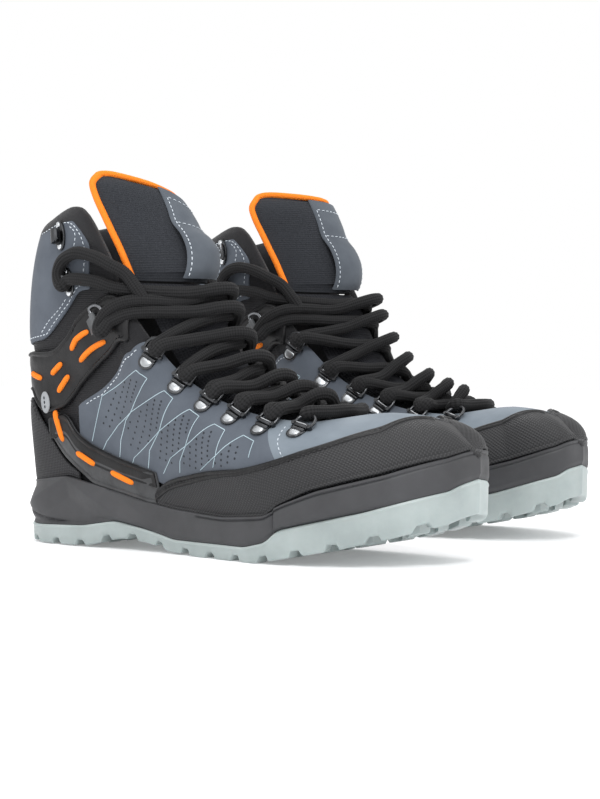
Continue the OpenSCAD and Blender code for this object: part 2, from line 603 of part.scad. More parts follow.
// Lace ------------------------------------------------------------------------------------
// Where the lace passes each station, bottom to top: six eyelet rings, strap ring, lower hook
function boot_point(p, s) = [s * p[1], mid_len - p[0], p[2]] * k;
function ring_centre(s, i) =
    let (e = eyelets(s)[i])
    on_skin(e[0] + 0.13, min(e[1] + 0.1, 1), s, panel_out + 5.4);
function station(s, j) =
    j < 6 ? ring_centre(s, 5 - j)
    : j == 6 ? on_skin(3.58, 0.695, s, cover_out + 6)
    : on_skin(2.84, 0.74, s, panel_out + 4.8);
// Rows of the tongue that each station and each crossing lie at
station_row = [1, 2, 2.8, 3.4, 4.3, 4.8, 5.25, 5.6];
crossing_row = [1.15, 1.7, 2.5, 3.5, 4.35, 5.05, 5.6];
function over_tongue(row, across, lift) =
    let (r = spline(tongue_rows, row),
         t = unit(spline(tongue_rows, row + 0.1) - spline(tongue_rows, row - 0.1)),
         n = [t[1], -t[0]], q = row_bow(n, r[1]) * r[2] * across * across)
    place([r[0] + n[0] * lift - q[0], r[3] * across, r[1] + n[1] * lift - q[1]]);
// Guide points from the strap ring and from the hook round the collar edge [l, w, z]
guide_6 = [[92, 47, 137], [104, 38.5, 142]];
guide_7 = [[67, 46.5, 158.5], [81, 45, 156.5], [93, 39.5, 152.5]];
function guides(j, s, up) =
    j == 6 ? [for (g = guide_6) boot_point(g + [0, 0, up * 3.5], s)]
    : j == 7 ? [for (g = guide_7) boot_point(g, s)] : [];
function backwards(p) = [for (i = [len(p) - 1 : -1 : 0]) p[i]];
lace_lift = lace_d / 2 + 1.8;
function strand(j, s) =
    let (c = crossing_row[j], a = mix(station_row[j], c, 0.5), b = mix(station_row[j + 1], c, 0.5),
         top = s < 0 ? lace_d + 0.4 : 0, arch = s < 0 ? 3 : 0)
    concat([station(s, j) + [0, 2 * k, 0]], guides(j, s, 1),
           [over_tongue(a, s * 0.75, lace_lift + 1),
            over_tongue(mix(a, c, 0.6), s * 0.35, lace_lift + (top + arch) / 2),
            over_tongue(c, 0, lace_lift + top + arch / 2),
            over_tongue(mix(b, c, 0.6), -s * 0.35, lace_lift + top * 0.8 + arch),
            over_tongue(b, -s * 0.75, lace_lift + 1 + arch)],
           backwards(guides(j + 1, -s, -1)), [station(-s, j + 1) - [0, 2 * k, 0]]);
// Loose end after the lower hook, tucked down beside the tongue [l, w, z]
lace_end = [[49, 44, 162], [54, 45, 170], [66, 46.5, 174], [80, 45.5, 171], [90, 43.5, 166],
            [97, 39.5, 161.5]];
function half_lace(s) =
    concat([for (j = [0 : 6]) each strand(j, j % 2 == 0 ? s : -s)],
           [for (p = lace_end) boot_point(p, -s)]);
module lace() {
    color("#141517")
        tube(concat(backwards(half_lace(1)),
                    [boot_point([224, 14, 82.5], 1), boot_point([227, 0, 83], 1),
                     boot_point([224, 14, 82.5], -1)], half_lace(-1)), lace_d, 6);
}

module piece(name) {
    if (name == "outsole") {
        outsole();
        tread();
    }
    if (name == "midsole") midsole();
    if (name == "shank") shank();
    if (name == "insole_board") insole_board();
    if (name == "footbed") footbed();
    if (name == "lining") lining();
    if (name == "collar_foam") collar_foam_pad();
    if (name == "base_mesh") base_mesh();
    if (name == "vamp") vamp();
    if (name == "quarter_outer") quarter(1);
    if (name == "quarter_inner") quarter(-1);
    if (name == "cuff") cuff();
    if (name == "toe_rand") toe_rand();
    if (name == "heel_cup") heel_cup();
    if (name == "ankle_strap") ankle_strap();
    if (name == "arch_straps") arch_straps();
    if (name == "strap_cord") strap_cord();
    if (name == "heel_badge") heel_badge();
    if (name == "strap_ring_outer") strap_ring(1);
    if (name == "strap_ring_inner") strap_ring(-1);
    if (name == "tongue_base") tongue_base();
    if (name == "tongue_flap") tongue_flap();
    if (name == "tongue_piping") tongue_piping();
    if (name == "tongue_pull") tongue_pull();
    if (name == "eyelet_plates") eyelet_plates();
    if (name == "d_rings") d_rings();
    if (name == "cuff_hooks") cuff_hooks();
    if (name == "lace") lace();
}
module stand(side) {
    if (side == "left")
        translate([boot_spacing / 2, setback / 2, 0])
            children();
    else
        translate([-boot_spacing / 2, -setback / 2, 0])
            mirror([1, 0, 0])
                children();
}

for (side = SIDES)
    for (name = PIECES)
        stand(side)
                piece(name, $lean = side == "right" ? lean_right : lean_left);
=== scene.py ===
"""The looks of a pair of lace-up hiking boots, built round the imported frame.

Boot space is in millimetres: l runs from the back of the heel to the toe, w points to the
outer side of the boot and z up. u counts the knots of the sole outline from heel (0) to toe
(10), v runs from the sole (0) to the top line (1), and s is 1 on the outer side, -1 inside.
"""
import math

import bmesh
import bpy
import numpy as np
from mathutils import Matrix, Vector


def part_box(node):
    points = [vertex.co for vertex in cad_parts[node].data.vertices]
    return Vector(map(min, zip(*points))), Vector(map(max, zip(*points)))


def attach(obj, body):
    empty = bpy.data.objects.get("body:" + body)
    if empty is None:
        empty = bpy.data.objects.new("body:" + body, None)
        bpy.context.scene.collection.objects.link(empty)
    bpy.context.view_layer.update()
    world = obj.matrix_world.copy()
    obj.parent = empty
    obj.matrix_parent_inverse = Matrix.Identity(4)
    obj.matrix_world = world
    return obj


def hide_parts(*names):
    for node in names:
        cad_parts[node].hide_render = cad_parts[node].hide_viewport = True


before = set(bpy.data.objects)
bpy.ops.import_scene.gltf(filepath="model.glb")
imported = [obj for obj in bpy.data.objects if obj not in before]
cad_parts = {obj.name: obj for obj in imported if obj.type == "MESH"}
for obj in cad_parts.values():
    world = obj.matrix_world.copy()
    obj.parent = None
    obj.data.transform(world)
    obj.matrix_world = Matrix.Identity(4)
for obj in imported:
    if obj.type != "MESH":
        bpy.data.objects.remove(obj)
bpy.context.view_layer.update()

MM = 0.001
SIDES = {"left": 1, "right": -1}
TIP_U = 10
RIDGE_U = 8  # from here on both sides of the upper meet in a ridge over the toes

# Camera, in mm and degrees ----------------------------------------------------------------------
CAMERA_TARGET = (-9.3, 7.3, 86.8)
CAMERA_DISTANCE = 1133
CAMERA_HEADING = 34.93
CAMERA_DROP = 1.07
LENS = 82.05


def make_camera():
    camera = bpy.data.objects.new("camera", bpy.data.cameras.new("camera"))
    bpy.context.scene.collection.objects.link(camera)
    heading, drop = math.radians(CAMERA_HEADING), math.radians(CAMERA_DROP)
    look = Vector((math.cos(heading) * math.cos(drop), math.sin(heading) * math.cos(drop), -math.sin(drop)))
    camera.location = (Vector(CAMERA_TARGET) - look * CAMERA_DISTANCE) * MM
    camera.rotation_euler = look.to_track_quat("-Z", "Y").to_euler()
    camera.data.lens = LENS
    camera.data.clip_start = 0.01
    bpy.context.scene.camera = camera


make_camera()

# Shape of the boot, as in the CAD model ---------------------------------------------------------
SOLE_OUTER = [[0, 0], [6, 19], [22, 30], [60, 35], [120, 37], [165, 45],
              [205, 52], [245, 47], [278, 31], [298, 8], [304, -11]]
SOLE_INNER = [[0, 0], [6, -19], [22, -29], [60, -33], [105, -33], [150, -40],
              [190, -47], [225, -49], [270, -43], [298, -30], [304, -11]]
RIM_Z = [[0, 37], [28, 40], [47, 42], [72, 37], [92, 33], [110, 29], [132, 26], [173, 24],
         [206, 26.5], [216, 32.5], [238, 41], [272, 50], [297, 59], [304, 63]]
FLOOR_Z = [[0, 30], [60, 28], [110, 22], [150, 19], [200, 19], [240, 24], [275, 33], [304, 44]]
OUTSOLE_TOP_Z = [[0, 13], [18, 11.5], [60, 13], [86, 17], [110, 13], [132, 8.5], [190, 8.5],
                 [206, 12], [214, 19], [262, 30], [297, 41], [304, 47]]
GROUND_Z = [[0, 4], [12, 0.5], [60, 0.5], [90, 7], [112, 5], [125, 1.5], [150, 0], [198, 0],
            [217, 3.5], [248, 9.5], [275, 16], [297, 23], [304, 28]]
TOP_KNOTS = [[0, 0], [3, 3], [3.5, 4], [4, 5], [10, 11]]
TOP_LINE = [[15, 0, 190], [18, 18, 191], [30, 30, 194], [60, 37, 200], [83, 37, 172],
            [100, 36, 140], [133, 31, 103], [172, 29, 84], [212, 22, 76], [250, -4, 80],
            [281, -10, 75], [296, -11, 62]]
TOP_PULL = [[-19, 0, -42], [-17, 8, -42], [-10, 9, -42], [0, 6, -46], [0, 6, -36], [2, 14, -28],
            [6, 20, -20], [4, 26, -20], [6, 30, -10], [8, 30, -1], [9, 22, -2], [8, 0, -6]]
SOLE_PULL = [[2, 32], [2, 32], [1, 32], [0, 34], [0, 32], [1, 30], [3, 26], [4, 22], [5, 24],
             [6, 26], [5.4, 24], [4.4, 18]]
FEATHER_INSET = 6
WAIST_DEPTH, WAIST_Z, WAIST_H, WAIST_END_U = 3.2, 103, 15, 4.2
MESH_T = 1.2
PANEL_IN, PANEL_OUT = 0.3, 1.6
COVER_IN, COVER_OUT = 1.9, 3.9
LACE_D = 7.2
PIPING_D = 4.2


def table(rows, x):
    """Second column of the rows at x in the first."""
    rows = np.asarray(rows, float)
    return np.interp(x, rows[:, 0], rows[:, 1])


def columns(*parts):
    """Values or arrays set side by side in a last axis."""
    return np.stack(np.broadcast_arrays(*parts), -1)


def unit(p):
    return p / np.maximum(np.linalg.norm(p, axis=-1, keepdims=True), 1e-9)


def cos_sin(degrees):
    return math.cos(math.radians(degrees)), math.sin(math.radians(degrees))


def smooth_step(x):
    x = np.clip(x, 0, 1)
    return x * x * (3 - 2 * x)


def bump_at(x, centre, width):
    return np.exp(-((x - centre) / width) ** 2)


def spline(points, t):
    """Curve through the points, t counting them from 0."""
    p = np.asarray(points, float)
    n = len(p) - 1
    t = np.clip(np.asarray(t, float), 0, n)
    i = np.minimum(np.floor(t).astype(int), n - 1)
    f = (t - i)[..., None]
    q = np.vstack([2 * p[0] - p[1], p, 2 * p[n] - p[n - 1]])
    a, b, c, d = q[i], q[i + 1], q[i + 2], q[i + 3]
    return 0.5 * (2 * b + (c - a) * f + (2 * a - 5 * b + 4 * c - d) * f ** 2
                  + (3 * b - a - 3 * c + d) * f ** 3)


def sole_edge(u, s):
    return np.where((s > 0)[..., None], spline(SOLE_OUTER, u), spline(SOLE_INNER, u))


def sole_out(u, s):
    t = sole_edge(np.minimum(u + 0.05, TIP_U), s) - sole_edge(np.maximum(u - 0.05, 0), s)
    side = unit(columns(-t[..., 1], t[..., 0])) * s[..., None]
    heel = np.maximum(0, 1 - u / 0.6)[..., None]
    toe = np.maximum(0, (u - 9.4) / 0.6)[..., None]
    out = side + (np.array([-1, 0]) - side) * heel
    return unit(out + (np.array([1, 0]) - out) * toe)


def top_point(u, s):
    p = spline(TOP_LINE, table(TOP_KNOTS, u))
    w = np.where(s > 0, p[..., 1], np.where(u >= RIDGE_U, p[..., 1],
                 np.where(u > 7, 2 * (-4 * (u - 7)) - p[..., 1], -p[..., 1])))
    return columns(p[..., 0], w, p[..., 2])


def skin(u, v, s):
    """Outer face of the base layer of the upper."""
    u, v, s = np.broadcast_arrays(*(np.asarray(k, float) for k in (u, v, s)))
    edge, out, knot = sole_edge(u, s), sole_out(u, s), table(TOP_KNOTS, u)
    foot = np.concatenate([edge - out * FEATHER_INSET, table(FLOOR_Z, edge[..., 0])[..., None]], -1)
    low, high, top = spline(SOLE_PULL, knot), spline(TOP_PULL, knot), top_point(u, s)
    foot_pull = foot + np.concatenate([out * low[..., :1], low[..., 1:2]], -1)
    head_pull = top + high * columns(1, s, 1)
    a, b = v[..., None], 1 - v[..., None]
    p = b ** 3 * foot + 3 * b * b * a * foot_pull + 3 * b * a * a * head_pull + a ** 3 * top
    waist = WAIST_DEPTH * np.sqrt(np.maximum(0, 1 - u / WAIST_END_U)) * bump_at(p[..., 2], WAIST_Z, WAIST_H)
    p[..., :2] -= out * waist[..., None]
    return p


def skin_normal(u, v, s):
    u, v, s = np.broadcast_arrays(*(np.asarray(k, float) for k in (u, v, s)))
    e = 0.02
    along = skin(np.minimum(u + e, TIP_U), v, s) - skin(np.maximum(u - e, 0), v, s)
    up = skin(u, np.minimum(v + e, 1), s) - skin(u, np.maximum(v - e, 0), s)
    n = unit(np.cross(up, along)) * s[..., None]
    flat = (u <= 0) | (u >= TIP_U) | ((v >= 1) & (u >= RIDGE_U))
    n[..., 1] = np.where(flat, 0, n[..., 1])
    return unit(n)


def on_skin(u, v, s, d):
    return skin(u, v, s) + skin_normal(u, v, s) * np.asarray(d, float)[..., None]


def v_over_rim(u, s):
    """Lowest v at which the skin clears the midsole wall."""
    low, high = np.zeros_like(u), np.full_like(u, 0.5)
    rim = table(RIM_Z, sole_edge(u, s)[..., 0]) - 0.4
    for _ in range(12):
        mid = (low + high) / 2
        clear = skin(u, mid, s)[..., 2] > rim
        high, low = np.where(clear, mid, high), np.where(clear, low, mid)
    return high


# Meshes -----------------------------------------------------------------------------------------
def to_world(points, side):
    points = np.asarray(points, float)
    tongue_lo, tongue_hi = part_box(side + "_tongue_base")
    centre_x = (tongue_lo.x + tongue_hi.x) / 2
    heel_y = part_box(side + "_outsole")[1].y
    return columns(centre_x + SIDES[side] * points[:, 1] * MM, heel_y - points[:, 0] * MM, points[:, 2] * MM)


def make_one(name, side, part, material, nodes, body, sharp, weld):
    """One piece of one boot, from (points, faces, uv) in boot space."""
    points, faces, uv = part
    mesh = bpy.data.meshes.new(f"{side}_{name}")
    mesh.from_pydata(to_world(points, side).tolist(), [], [list(map(int, f)) for f in faces])
    layer = mesh.uv_layers.new(name="surface")
    index = np.empty(len(mesh.loops), int)
    mesh.loops.foreach_get("vertex_index", index)
    layer.data.foreach_set("uv", (np.asarray(uv, float)[index]).astype(np.float32).ravel())
    work = bmesh.new()
    work.from_mesh(mesh)
    if weld:
        bmesh.ops.remove_doubles(work, verts=work.verts, dist=weld * MM)
    bmesh.ops.recalc_face_normals(work, faces=work.faces)
    work.to_mesh(mesh)
    work.free()
    mesh.polygons.foreach_set("use_smooth", [True] * len(mesh.polygons))
    mesh.set_sharp_from_angle(angle=math.radians(sharp))
    mesh.materials.append(MATERIALS[material])
    piece = bpy.data.objects.new(f"{side}_{name}", mesh)
    bpy.context.scene.collection.objects.link(piece)
    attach(piece, f"{side}_{body}")
    if nodes:
        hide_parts(*[f"{side}_{n}" for n in nodes])
    return piece


def make(name, part, material, nodes=(), body="boot", sharp=40, weld=0.0, leans=False):
    """The same piece on both boots, as {side: piece}."""
    points, faces, uv = part
    pieces = {}
    for side in SIDES:
        shape = leaning(points, side) if leans else points, faces, uv
        pieces[side] = make_one(name, side, shape, material, nodes, body, sharp, weld)
    return pieces


def grid_faces(rows, cols, wrap_rows=False, wrap_cols=False, start=0):
    """Quads between neighbours of a rows x cols grid of points."""
    r = np.arange(rows if wrap_rows else rows - 1)[:, None]
    c = np.arange(cols if wrap_cols else cols - 1)[None, :]
    r2, c2 = (r + 1) % rows, (c + 1) % cols
    return columns(r * cols + c, r * cols + c2, r2 * cols + c2, r2 * cols + c).reshape(-1, 4) + start


def ring_faces(count, around):
    """Faces of a stack of closed rings with both ends filled."""
    ends = [[row * around + k for k in range(around)] for row in (0, count - 1)]
    return grid_faces(count, around, wrap_cols=True).tolist() + ends


def arc(points):
    """Distance run along a line of points."""
    return np.concatenate([[0], np.cumsum(np.linalg.norm(np.diff(points, axis=0), axis=1))])


def along(at, run, values):
    """Columns of values, read at given distances along a line."""
    return np.stack([np.interp(at, run, column) for column in values.T], -1)


def resample(points, step):
    """The same line with its points about step apart."""
    points = np.asarray(points, float)
    run = arc(points)
    count = max(2, int(round(run[-1] / step)) + 1)
    at = np.linspace(0, run[-1], count)
    return along(at, run, points)


def smooth_line(points, per=8):
    return spline(points, np.linspace(0, len(points) - 1, (len(points) - 1) * per + 1))


def carried_frames(path):
    """Heading and two crosswise directions at each point, without twist."""
    heading = unit(np.gradient(path, axis=0))
    across = np.empty_like(path)
    f = np.array([0, 0, 1.0]) if abs(heading[0][2]) < 0.9 else np.array([1.0, 0, 0])
    for i, h in enumerate(heading):
        f = f - h * np.dot(f, h)
        f = f / np.linalg.norm(f)
        across[i] = f
    return heading, across, np.cross(heading, across)


def tube(path, radius, sides=10, wave=None, ends=True):
    """Round tube: points, faces and uv in metres. radius is a number or one per point."""
    path = np.asarray(path, float)
    _, a, b = carried_frames(path)
    n = len(path)
    angle = np.linspace(0, 2 * math.pi, sides, endpoint=False)
    r = np.broadcast_to(np.asarray(radius, float), (n,))[:, None]
    if wave is not None:
        r = r * wave(angle[None, :], arc(path)[:, None])
    r = np.broadcast_to(r, (n, sides))[..., None]
    circle = a[:, None] * np.cos(angle)[None, :, None] + b[:, None] * np.sin(angle)[None, :, None]
    points = path[:, None] + r * circle
    faces = ring_faces(n, sides) if ends else grid_faces(n, sides, wrap_cols=True).tolist()
    uv = columns(arc(path)[:, None] * MM, (angle / (2 * math.pi))[None, :] * 0.02)
    return points.reshape(-1, 3), faces, uv.reshape(-1, 2)


def join(parts):
    """Several (points, faces, uv) as one."""
    points, faces, uvs, start = [], [], [], 0
    for p, f, t in parts:
        points.append(p)
        uvs.append(t)
        faces += [[i + start for i in face] for face in f]
        start += len(p)
    return np.vstack(points), faces, np.vstack(uvs)


# Lanes and sheets over the skin -----------------------------------------------------------------
END_STEPS = [0.008, 0.02, 0.04]
EDGE_ROWS = np.array([0, 0.2, 0.5, 1.0, 1.7])
EDGE_R = 1.0


def spaced(a, b, count):
    """u from a to b with a few extra places near both ends."""
    step = np.array(END_STEPS) * np.sign(b - a)
    middle = np.linspace(a + 2 * step[-1], b - 2 * step[-1], count)
    return np.concatenate([[a], a + step, middle, (b - step)[::-1], [b]])


def lane_round_heel(u_end, count):
    """Lane of (u, s) from the outer side round the heel to the inner one."""
    x = spaced(-u_end, u_end, count)
    return np.abs(x), np.where(x < 0, 1.0, -1.0)


def lane_over_toe(u_start, count):
    reach = TIP_U - u_start
    x = spaced(-reach, reach, count)
    return TIP_U - np.abs(x), np.where(x < 0, 1.0, -1.0)


def lane_side(a, b, count, s):
    u = spaced(a, b, count)
    return u, np.full_like(u, s)


def lane_round(count):
    x = np.linspace(0, 2 * TIP_U, count, endpoint=False)
    return np.where(x <= TIP_U, x, 2 * TIP_U - x), np.where(x <= TIP_U, 1.0, -1.0)


def hill(reach):
    """Weights that add up to 1, over reach places each way."""
    kernel = np.hanning(2 * reach + 3)[1:-1]
    return kernel / kernel.sum()


def blurred(values, width):
    """Rounds the corners of an edge, keeping its ends."""
    before, after = 2 * values[0] - values[width:0:-1], 2 * values[-1] - values[-2:-width - 2:-1]
    padded = np.concatenate([before, values, after])
    return np.convolve(padded, hill(width), "valid")


def sheet(lane, low, high, inner, outer, rows, closed=False, over_rim=True, shape=None, zipped=False,
          round_edge=5):
    """A curved panel with rolled edges: points, faces, uv. shape(u, v, s, edge) adds height in mm."""
    u, s = lane
    lo, hi = table(low, u), table(high, u)
    if round_edge:
        lo, hi = blurred(lo, round_edge), blurred(hi, round_edge)
    if over_rim:
        lo = np.maximum(lo, v_over_rim(u, s))
    hi = np.maximum(hi, lo + 0.004)
    across_u, across_s, low_v, height_v = u[:, None], s[:, None], lo[:, None], (hi - lo)[:, None]
    column = skin(across_u, low_v + height_v * np.linspace(0, 1, 9), across_s)
    length = np.linalg.norm(np.diff(column, axis=1), axis=2).sum(1)
    near = EDGE_ROWS[None] / np.maximum(length, 2.6 * EDGE_ROWS[-1])[:, None]
    middle = near[:, -1:] + (1 - 2 * near[:, -1:]) * np.linspace(0, 1, rows)[None, 1:-1]
    share = np.concatenate([near, middle, 1 - near[:, ::-1]], 1)
    v = low_v + height_v * share
    run = arc(column[:, 4])
    from_low, from_high = share * length[:, None], (1 - share) * length[:, None]
    joined = (zipped & (u >= RIDGE_U) & (hi >= 0.999))[:, None] if zipped else np.zeros((len(u), 1), bool)
    edge = np.minimum(from_low, np.where(joined, 1e3, from_high))
    if not closed:
        edge = np.minimum(edge, np.minimum(run, run[-1] - run)[:, None])
    roll = np.sqrt(1 - (1 - np.clip(edge / EDGE_R, 0, 1)) ** 2)
    height = inner + (outer - inner) * (0.3 + 0.7 * roll)
    if shape is not None:
        height = height + shape(across_u, v, across_s, edge) * np.clip(edge / EDGE_R, 0, 1)
    front = on_skin(across_u, v, across_s, height)
    back = on_skin(across_u, v, across_s, inner)
    n, m = v.shape
    faces = []
    for start in (0, n * m):
        faces += grid_faces(n, m, wrap_rows=closed, start=start).tolist()

    def wall(i, k):
        faces.append([i, k, k + n * m, i + n * m])

    for i in range(n if closed else n - 1):
        k = (i + 1) % n
        wall(i * m, k * m)
        if not (joined[i, 0] and joined[k, 0]):
            wall(i * m + m - 1, k * m + m - 1)
    if not closed:
        for i in (0, n - 1):
            for j in range(m - 1):
                wall(i * m + j, i * m + j + 1)
    uv = columns(run[:, None] * MM, from_low * MM).reshape(-1, 2)
    return np.vstack([front.reshape(-1, 3), back.reshape(-1, 3)]), faces, np.vstack([uv, uv])


def uv_line(points, s, d, step=0.5, curved=True):
    """A line drawn on the skin through (u, v) places: points and normals, step mm apart."""
    u, v = (smooth_line(points, 12) if curved else resample(points, 0.003)).T
    line = np.concatenate([on_skin(u, v, s, d), skin_normal(u, v, s)], 1)
    run = arc(line[:, :3])
    return along(np.linspace(0, run[-1], max(2, int(run[-1] / step))), run, line)


def stitches(line, length=2.0, gap=1.1, width=0.6, height=0.45):
    """Short raised threads along a line of points and normals."""
    run = arc(line[:, :3])
    count = max(1, int(run[-1] / (length + gap)))
    at = (np.arange(count) + 0.5) * run[-1] / count
    share = np.array([-0.5, -0.4, -0.2, 0.2, 0.4, 0.5])
    lift = np.array([-0.25, 0.1, 0.4, 0.4, 0.1, -0.25]) * height
    girth = np.array([0.35, 0.8, 1, 1, 0.8, 0.35])
    where = at[:, None] + share[None] * length
    p = along(where, run, line)
    centre, normal = p[..., :3], unit(p[..., 3:])
    ahead = unit(centre[:, -1:] - centre[:, :1])
    across = unit(np.cross(normal, ahead))
    angle = np.arange(6) * math.pi / 3
    ring = (across[:, :, None] * (np.cos(angle) * width / 2)[None, None, :, None]
            + normal[:, :, None] * (np.sin(angle) * height / 2)[None, None, :, None])
    lift, girth = lift[None, :, None, None], girth[None, :, None, None]
    points = (centre[:, :, None] + normal[:, :, None] * lift + ring * girth).reshape(-1, 3)
    faces = [[i + k * 36 for i in face] for k in range(count) for face in ring_faces(6, 6)]
    return points, faces, np.zeros((len(points), 2))


# Materials --------------------------------------------------------------------------------------
def shader(name, colour, rough, **settings):
    material = bpy.data.materials.new(name)
    material.use_nodes = True
    bsdf = material.node_tree.nodes["Principled BSDF"]
    bsdf.inputs["Base Color"].default_value = (*colour, 1)
    bsdf.inputs["Roughness"].default_value = rough
    for key, value in settings.items():
        bsdf.inputs[key.replace("_", " ")].default_value = value
    material.diffuse_color = (*colour, 1)
    return material


def feed(material, socket, value):
    """Links an output to a socket, or sets the socket's own value."""
    if hasattr(value, "is_output"):
        material.node_tree.links.new(value, socket)
    else:
        socket.default_value = value


def feed_surface(material, name, value):
    feed(material, material.node_tree.nodes["Principled BSDF"].inputs[name], value)


def node(material, kind, **inputs):
    n = material.node_tree.nodes.new(kind)
    for key, value in inputs.items():
        feed(material, n.inputs[key.replace("_", " ")], value)
    return n


def coordinates(material, kind="Object", turn=0):
    source = material.node_tree.nodes.new("ShaderNodeTexCoord").outputs[kind]
    return node(material, "ShaderNodeMapping", Vector=source, Rotation=(0, 0, turn)).outputs["Vector"]


def noise(material, scale, detail=3):
    return node(material, "ShaderNodeTexNoise", Vector=coordinates(material), Scale=scale, Detail=detail,
                Roughness=0.6).outputs["Fac"]


def cells(material, scale):
    return node(material, "ShaderNodeTexVoronoi", Vector=coordinates(material),
                Scale=scale).outputs["Distance"]


def maths(material, kind, a, b=0.0):
    n = material.node_tree.nodes.new("ShaderNodeMath")
    n.operation = kind
    feed(material, n.inputs[0], a)
    feed(material, n.inputs[1], b)
    return n.outputs[0]


def colour_by(material, value, dark, light, low=0.35, high=0.65):
    ramp = node(material, "ShaderNodeValToRGB", Fac=value)
    for stop, position, colour in zip(ramp.color_ramp.elements, (low, high), (dark, light)):
        stop.position = position
        stop.color = (*colour, 1)
    feed_surface(material, "Base Color", ramp.outputs["Color"])


def rough_by(material, value, low, high):
    spread = node(material, "ShaderNodeMapRange", Value=value, From_Min=0.3, From_Max=0.7,
                  To_Min=low, To_Max=high)
    feed_surface(material, "Roughness", spread.outputs["Result"])


def bump(material, *heights):
    """Each height is (value, strength, depth in mm), stacked."""
    normal = None
    for value, strength, depth in heights:
        n = node(material, "ShaderNodeBump", Height=value, Strength=strength, Distance=depth * MM)
        if normal is not None:
            feed(material, n.inputs["Normal"], normal)
        normal = n.outputs["Normal"]
    feed_surface(material, "Normal", normal)


def wave_of(material, axis, pitch, turn=0):
    """A raised sine wave along one axis of the surface, pitch in mm."""
    split = node(material, "ShaderNodeSeparateXYZ", Vector=coordinates(material, "UV", turn))
    angle = maths(material, "MULTIPLY", split.outputs[axis], 2 * math.pi / (pitch * MM))
    return maths(material, "ADD", maths(material, "MULTIPLY_ADD", maths(material, "SINE", angle), 0.5), 0.5)


def crossed_waves(material, pitch_x, pitch_y, turn=0):
    across, down = wave_of(material, "X", pitch_x, turn), wave_of(material, "Y", pitch_y, turn)
    return maths(material, "MULTIPLY", across, down)


def nubuck(name, dark, light):
    m = shader(name, light, 0.75, Sheen_Weight=0.05, Sheen_Roughness=0.6, Specular_IOR_Level=0.25)
    colour_by(m, noise(m, 45, 4), dark, light, 0.3, 0.7)
    bump(m, (noise(m, 1400, 2), 0.35, 0.12), (cells(m, 700), 0.25, 0.1))
    return m


def dotted_rubber(name, dark, light, pitch, rough, turn=0.0):
    m = shader(name, light, rough, Specular_IOR_Level=0.3)
    dots = crossed_waves(m, pitch, pitch, turn)
    # The sunken dimples are coloured darker: painted shade in the recesses.
    colour_by(m, dots, light, dark, 0.25, 0.7)
    bump(m, (dots, 0.5, -0.3), (noise(m, 900, 2), 0.2, 0.1))
    return m


def leather(name, dark, light, rough):
    m = shader(name, light, rough, Specular_IOR_Level=0.28)
    colour_by(m, noise(m, 60, 4), dark, light)
    rough_by(m, noise(m, 160, 3), rough - 0.08, rough + 0.12)
    bump(m, (cells(m, 800), 0.4, 0.15), (noise(m, 2200, 2), 0.2, 0.06))
    return m


def moulded(name, dark, light, rough, grain=700, **settings):
    m = shader(name, light, rough, **settings)
    colour_by(m, noise(m, 25, 5), dark, light, 0.3, 0.7)
    rough_by(m, noise(m, 90, 4), rough - 0.07, rough + 0.1)
    bump(m, (noise(m, grain, 3), 0.25, 0.12))
    return m


def woven(name, dark, light, pitch_x, pitch_y, rough=0.85, depth=0.25, **settings):
    m = shader(name, light, rough, **{"Specular_IOR_Level": 0.15, **settings})
    weave = crossed_waves(m, pitch_x, pitch_y)
    fluff = noise(m, 1500, 3)
    # Colour follows the weave: its hollows are darker as painted shade, mixed with random fluff tone.
    mixed = maths(m, "ADD", maths(m, "MULTIPLY", weave, 0.5), maths(m, "MULTIPLY", fluff, 0.5))
    colour_by(m, mixed, dark, light, 0.25, 0.65)
    bump(m, (weave, 0.6, depth), (fluff, 0.3, 0.15))
    return m


def ribbed(name, dark, light, pitch):
    m = shader(name, light, 0.85, Sheen_Weight=0.05, Sheen_Roughness=0.5, Specular_IOR_Level=0.2)
    fluff = noise(m, 1800, 3)
    colour_by(m, fluff, dark, light, 0.3, 0.7)
    bump(m, (wave_of(m, "X", pitch), 0.5, 0.2), (fluff, 0.35, 0.15))
    return m


def braided(name, dark, light, pitch):
    """Ribs along a cord with a fine weave across them; the raised weave is coloured lighter as painted
    highlight, mixed with random fluff tone.
    """
    m = shader(name, light, 0.85, Sheen_Weight=0.04, Sheen_Roughness=0.4, Specular_IOR_Level=0.15)
    weave = crossed_waves(m, pitch, pitch * 1.2)
    fluff = noise(m, 2500, 3)
    mixed = maths(m, "ADD", maths(m, "MULTIPLY", weave, 0.4), maths(m, "MULTIPLY", fluff, 0.6))
    colour_by(m, mixed, dark, light, 0.25, 0.75)
    bump(m, (weave, 0.5, 0.2), (fluff, 0.6, 0.25))
    return m


def metal(name, colour, rough):
    m = shader(name, colour, rough, Metallic=1)
    rough_by(m, noise(m, 260, 4), rough - 0.08, rough + 0.08)
    bump(m, (noise(m, 900, 2), 0.12, 0.05))
    return m


def rubber_outsole(name):
    m = shader(name, (0.43, 0.50, 0.50), 0.42, Subsurface_Weight=0.35, Subsurface_Scale=0.006,
               Subsurface_Radius=(0.8, 1.0, 1.0), Specular_IOR_Level=0.45)
    colour_by(m, noise(m, 30, 5), (0.26, 0.3, 0.298), (0.37, 0.42, 0.415), 0.25, 0.75)
    bump(m, (noise(m, 500, 3), 0.2, 0.12))
    return m


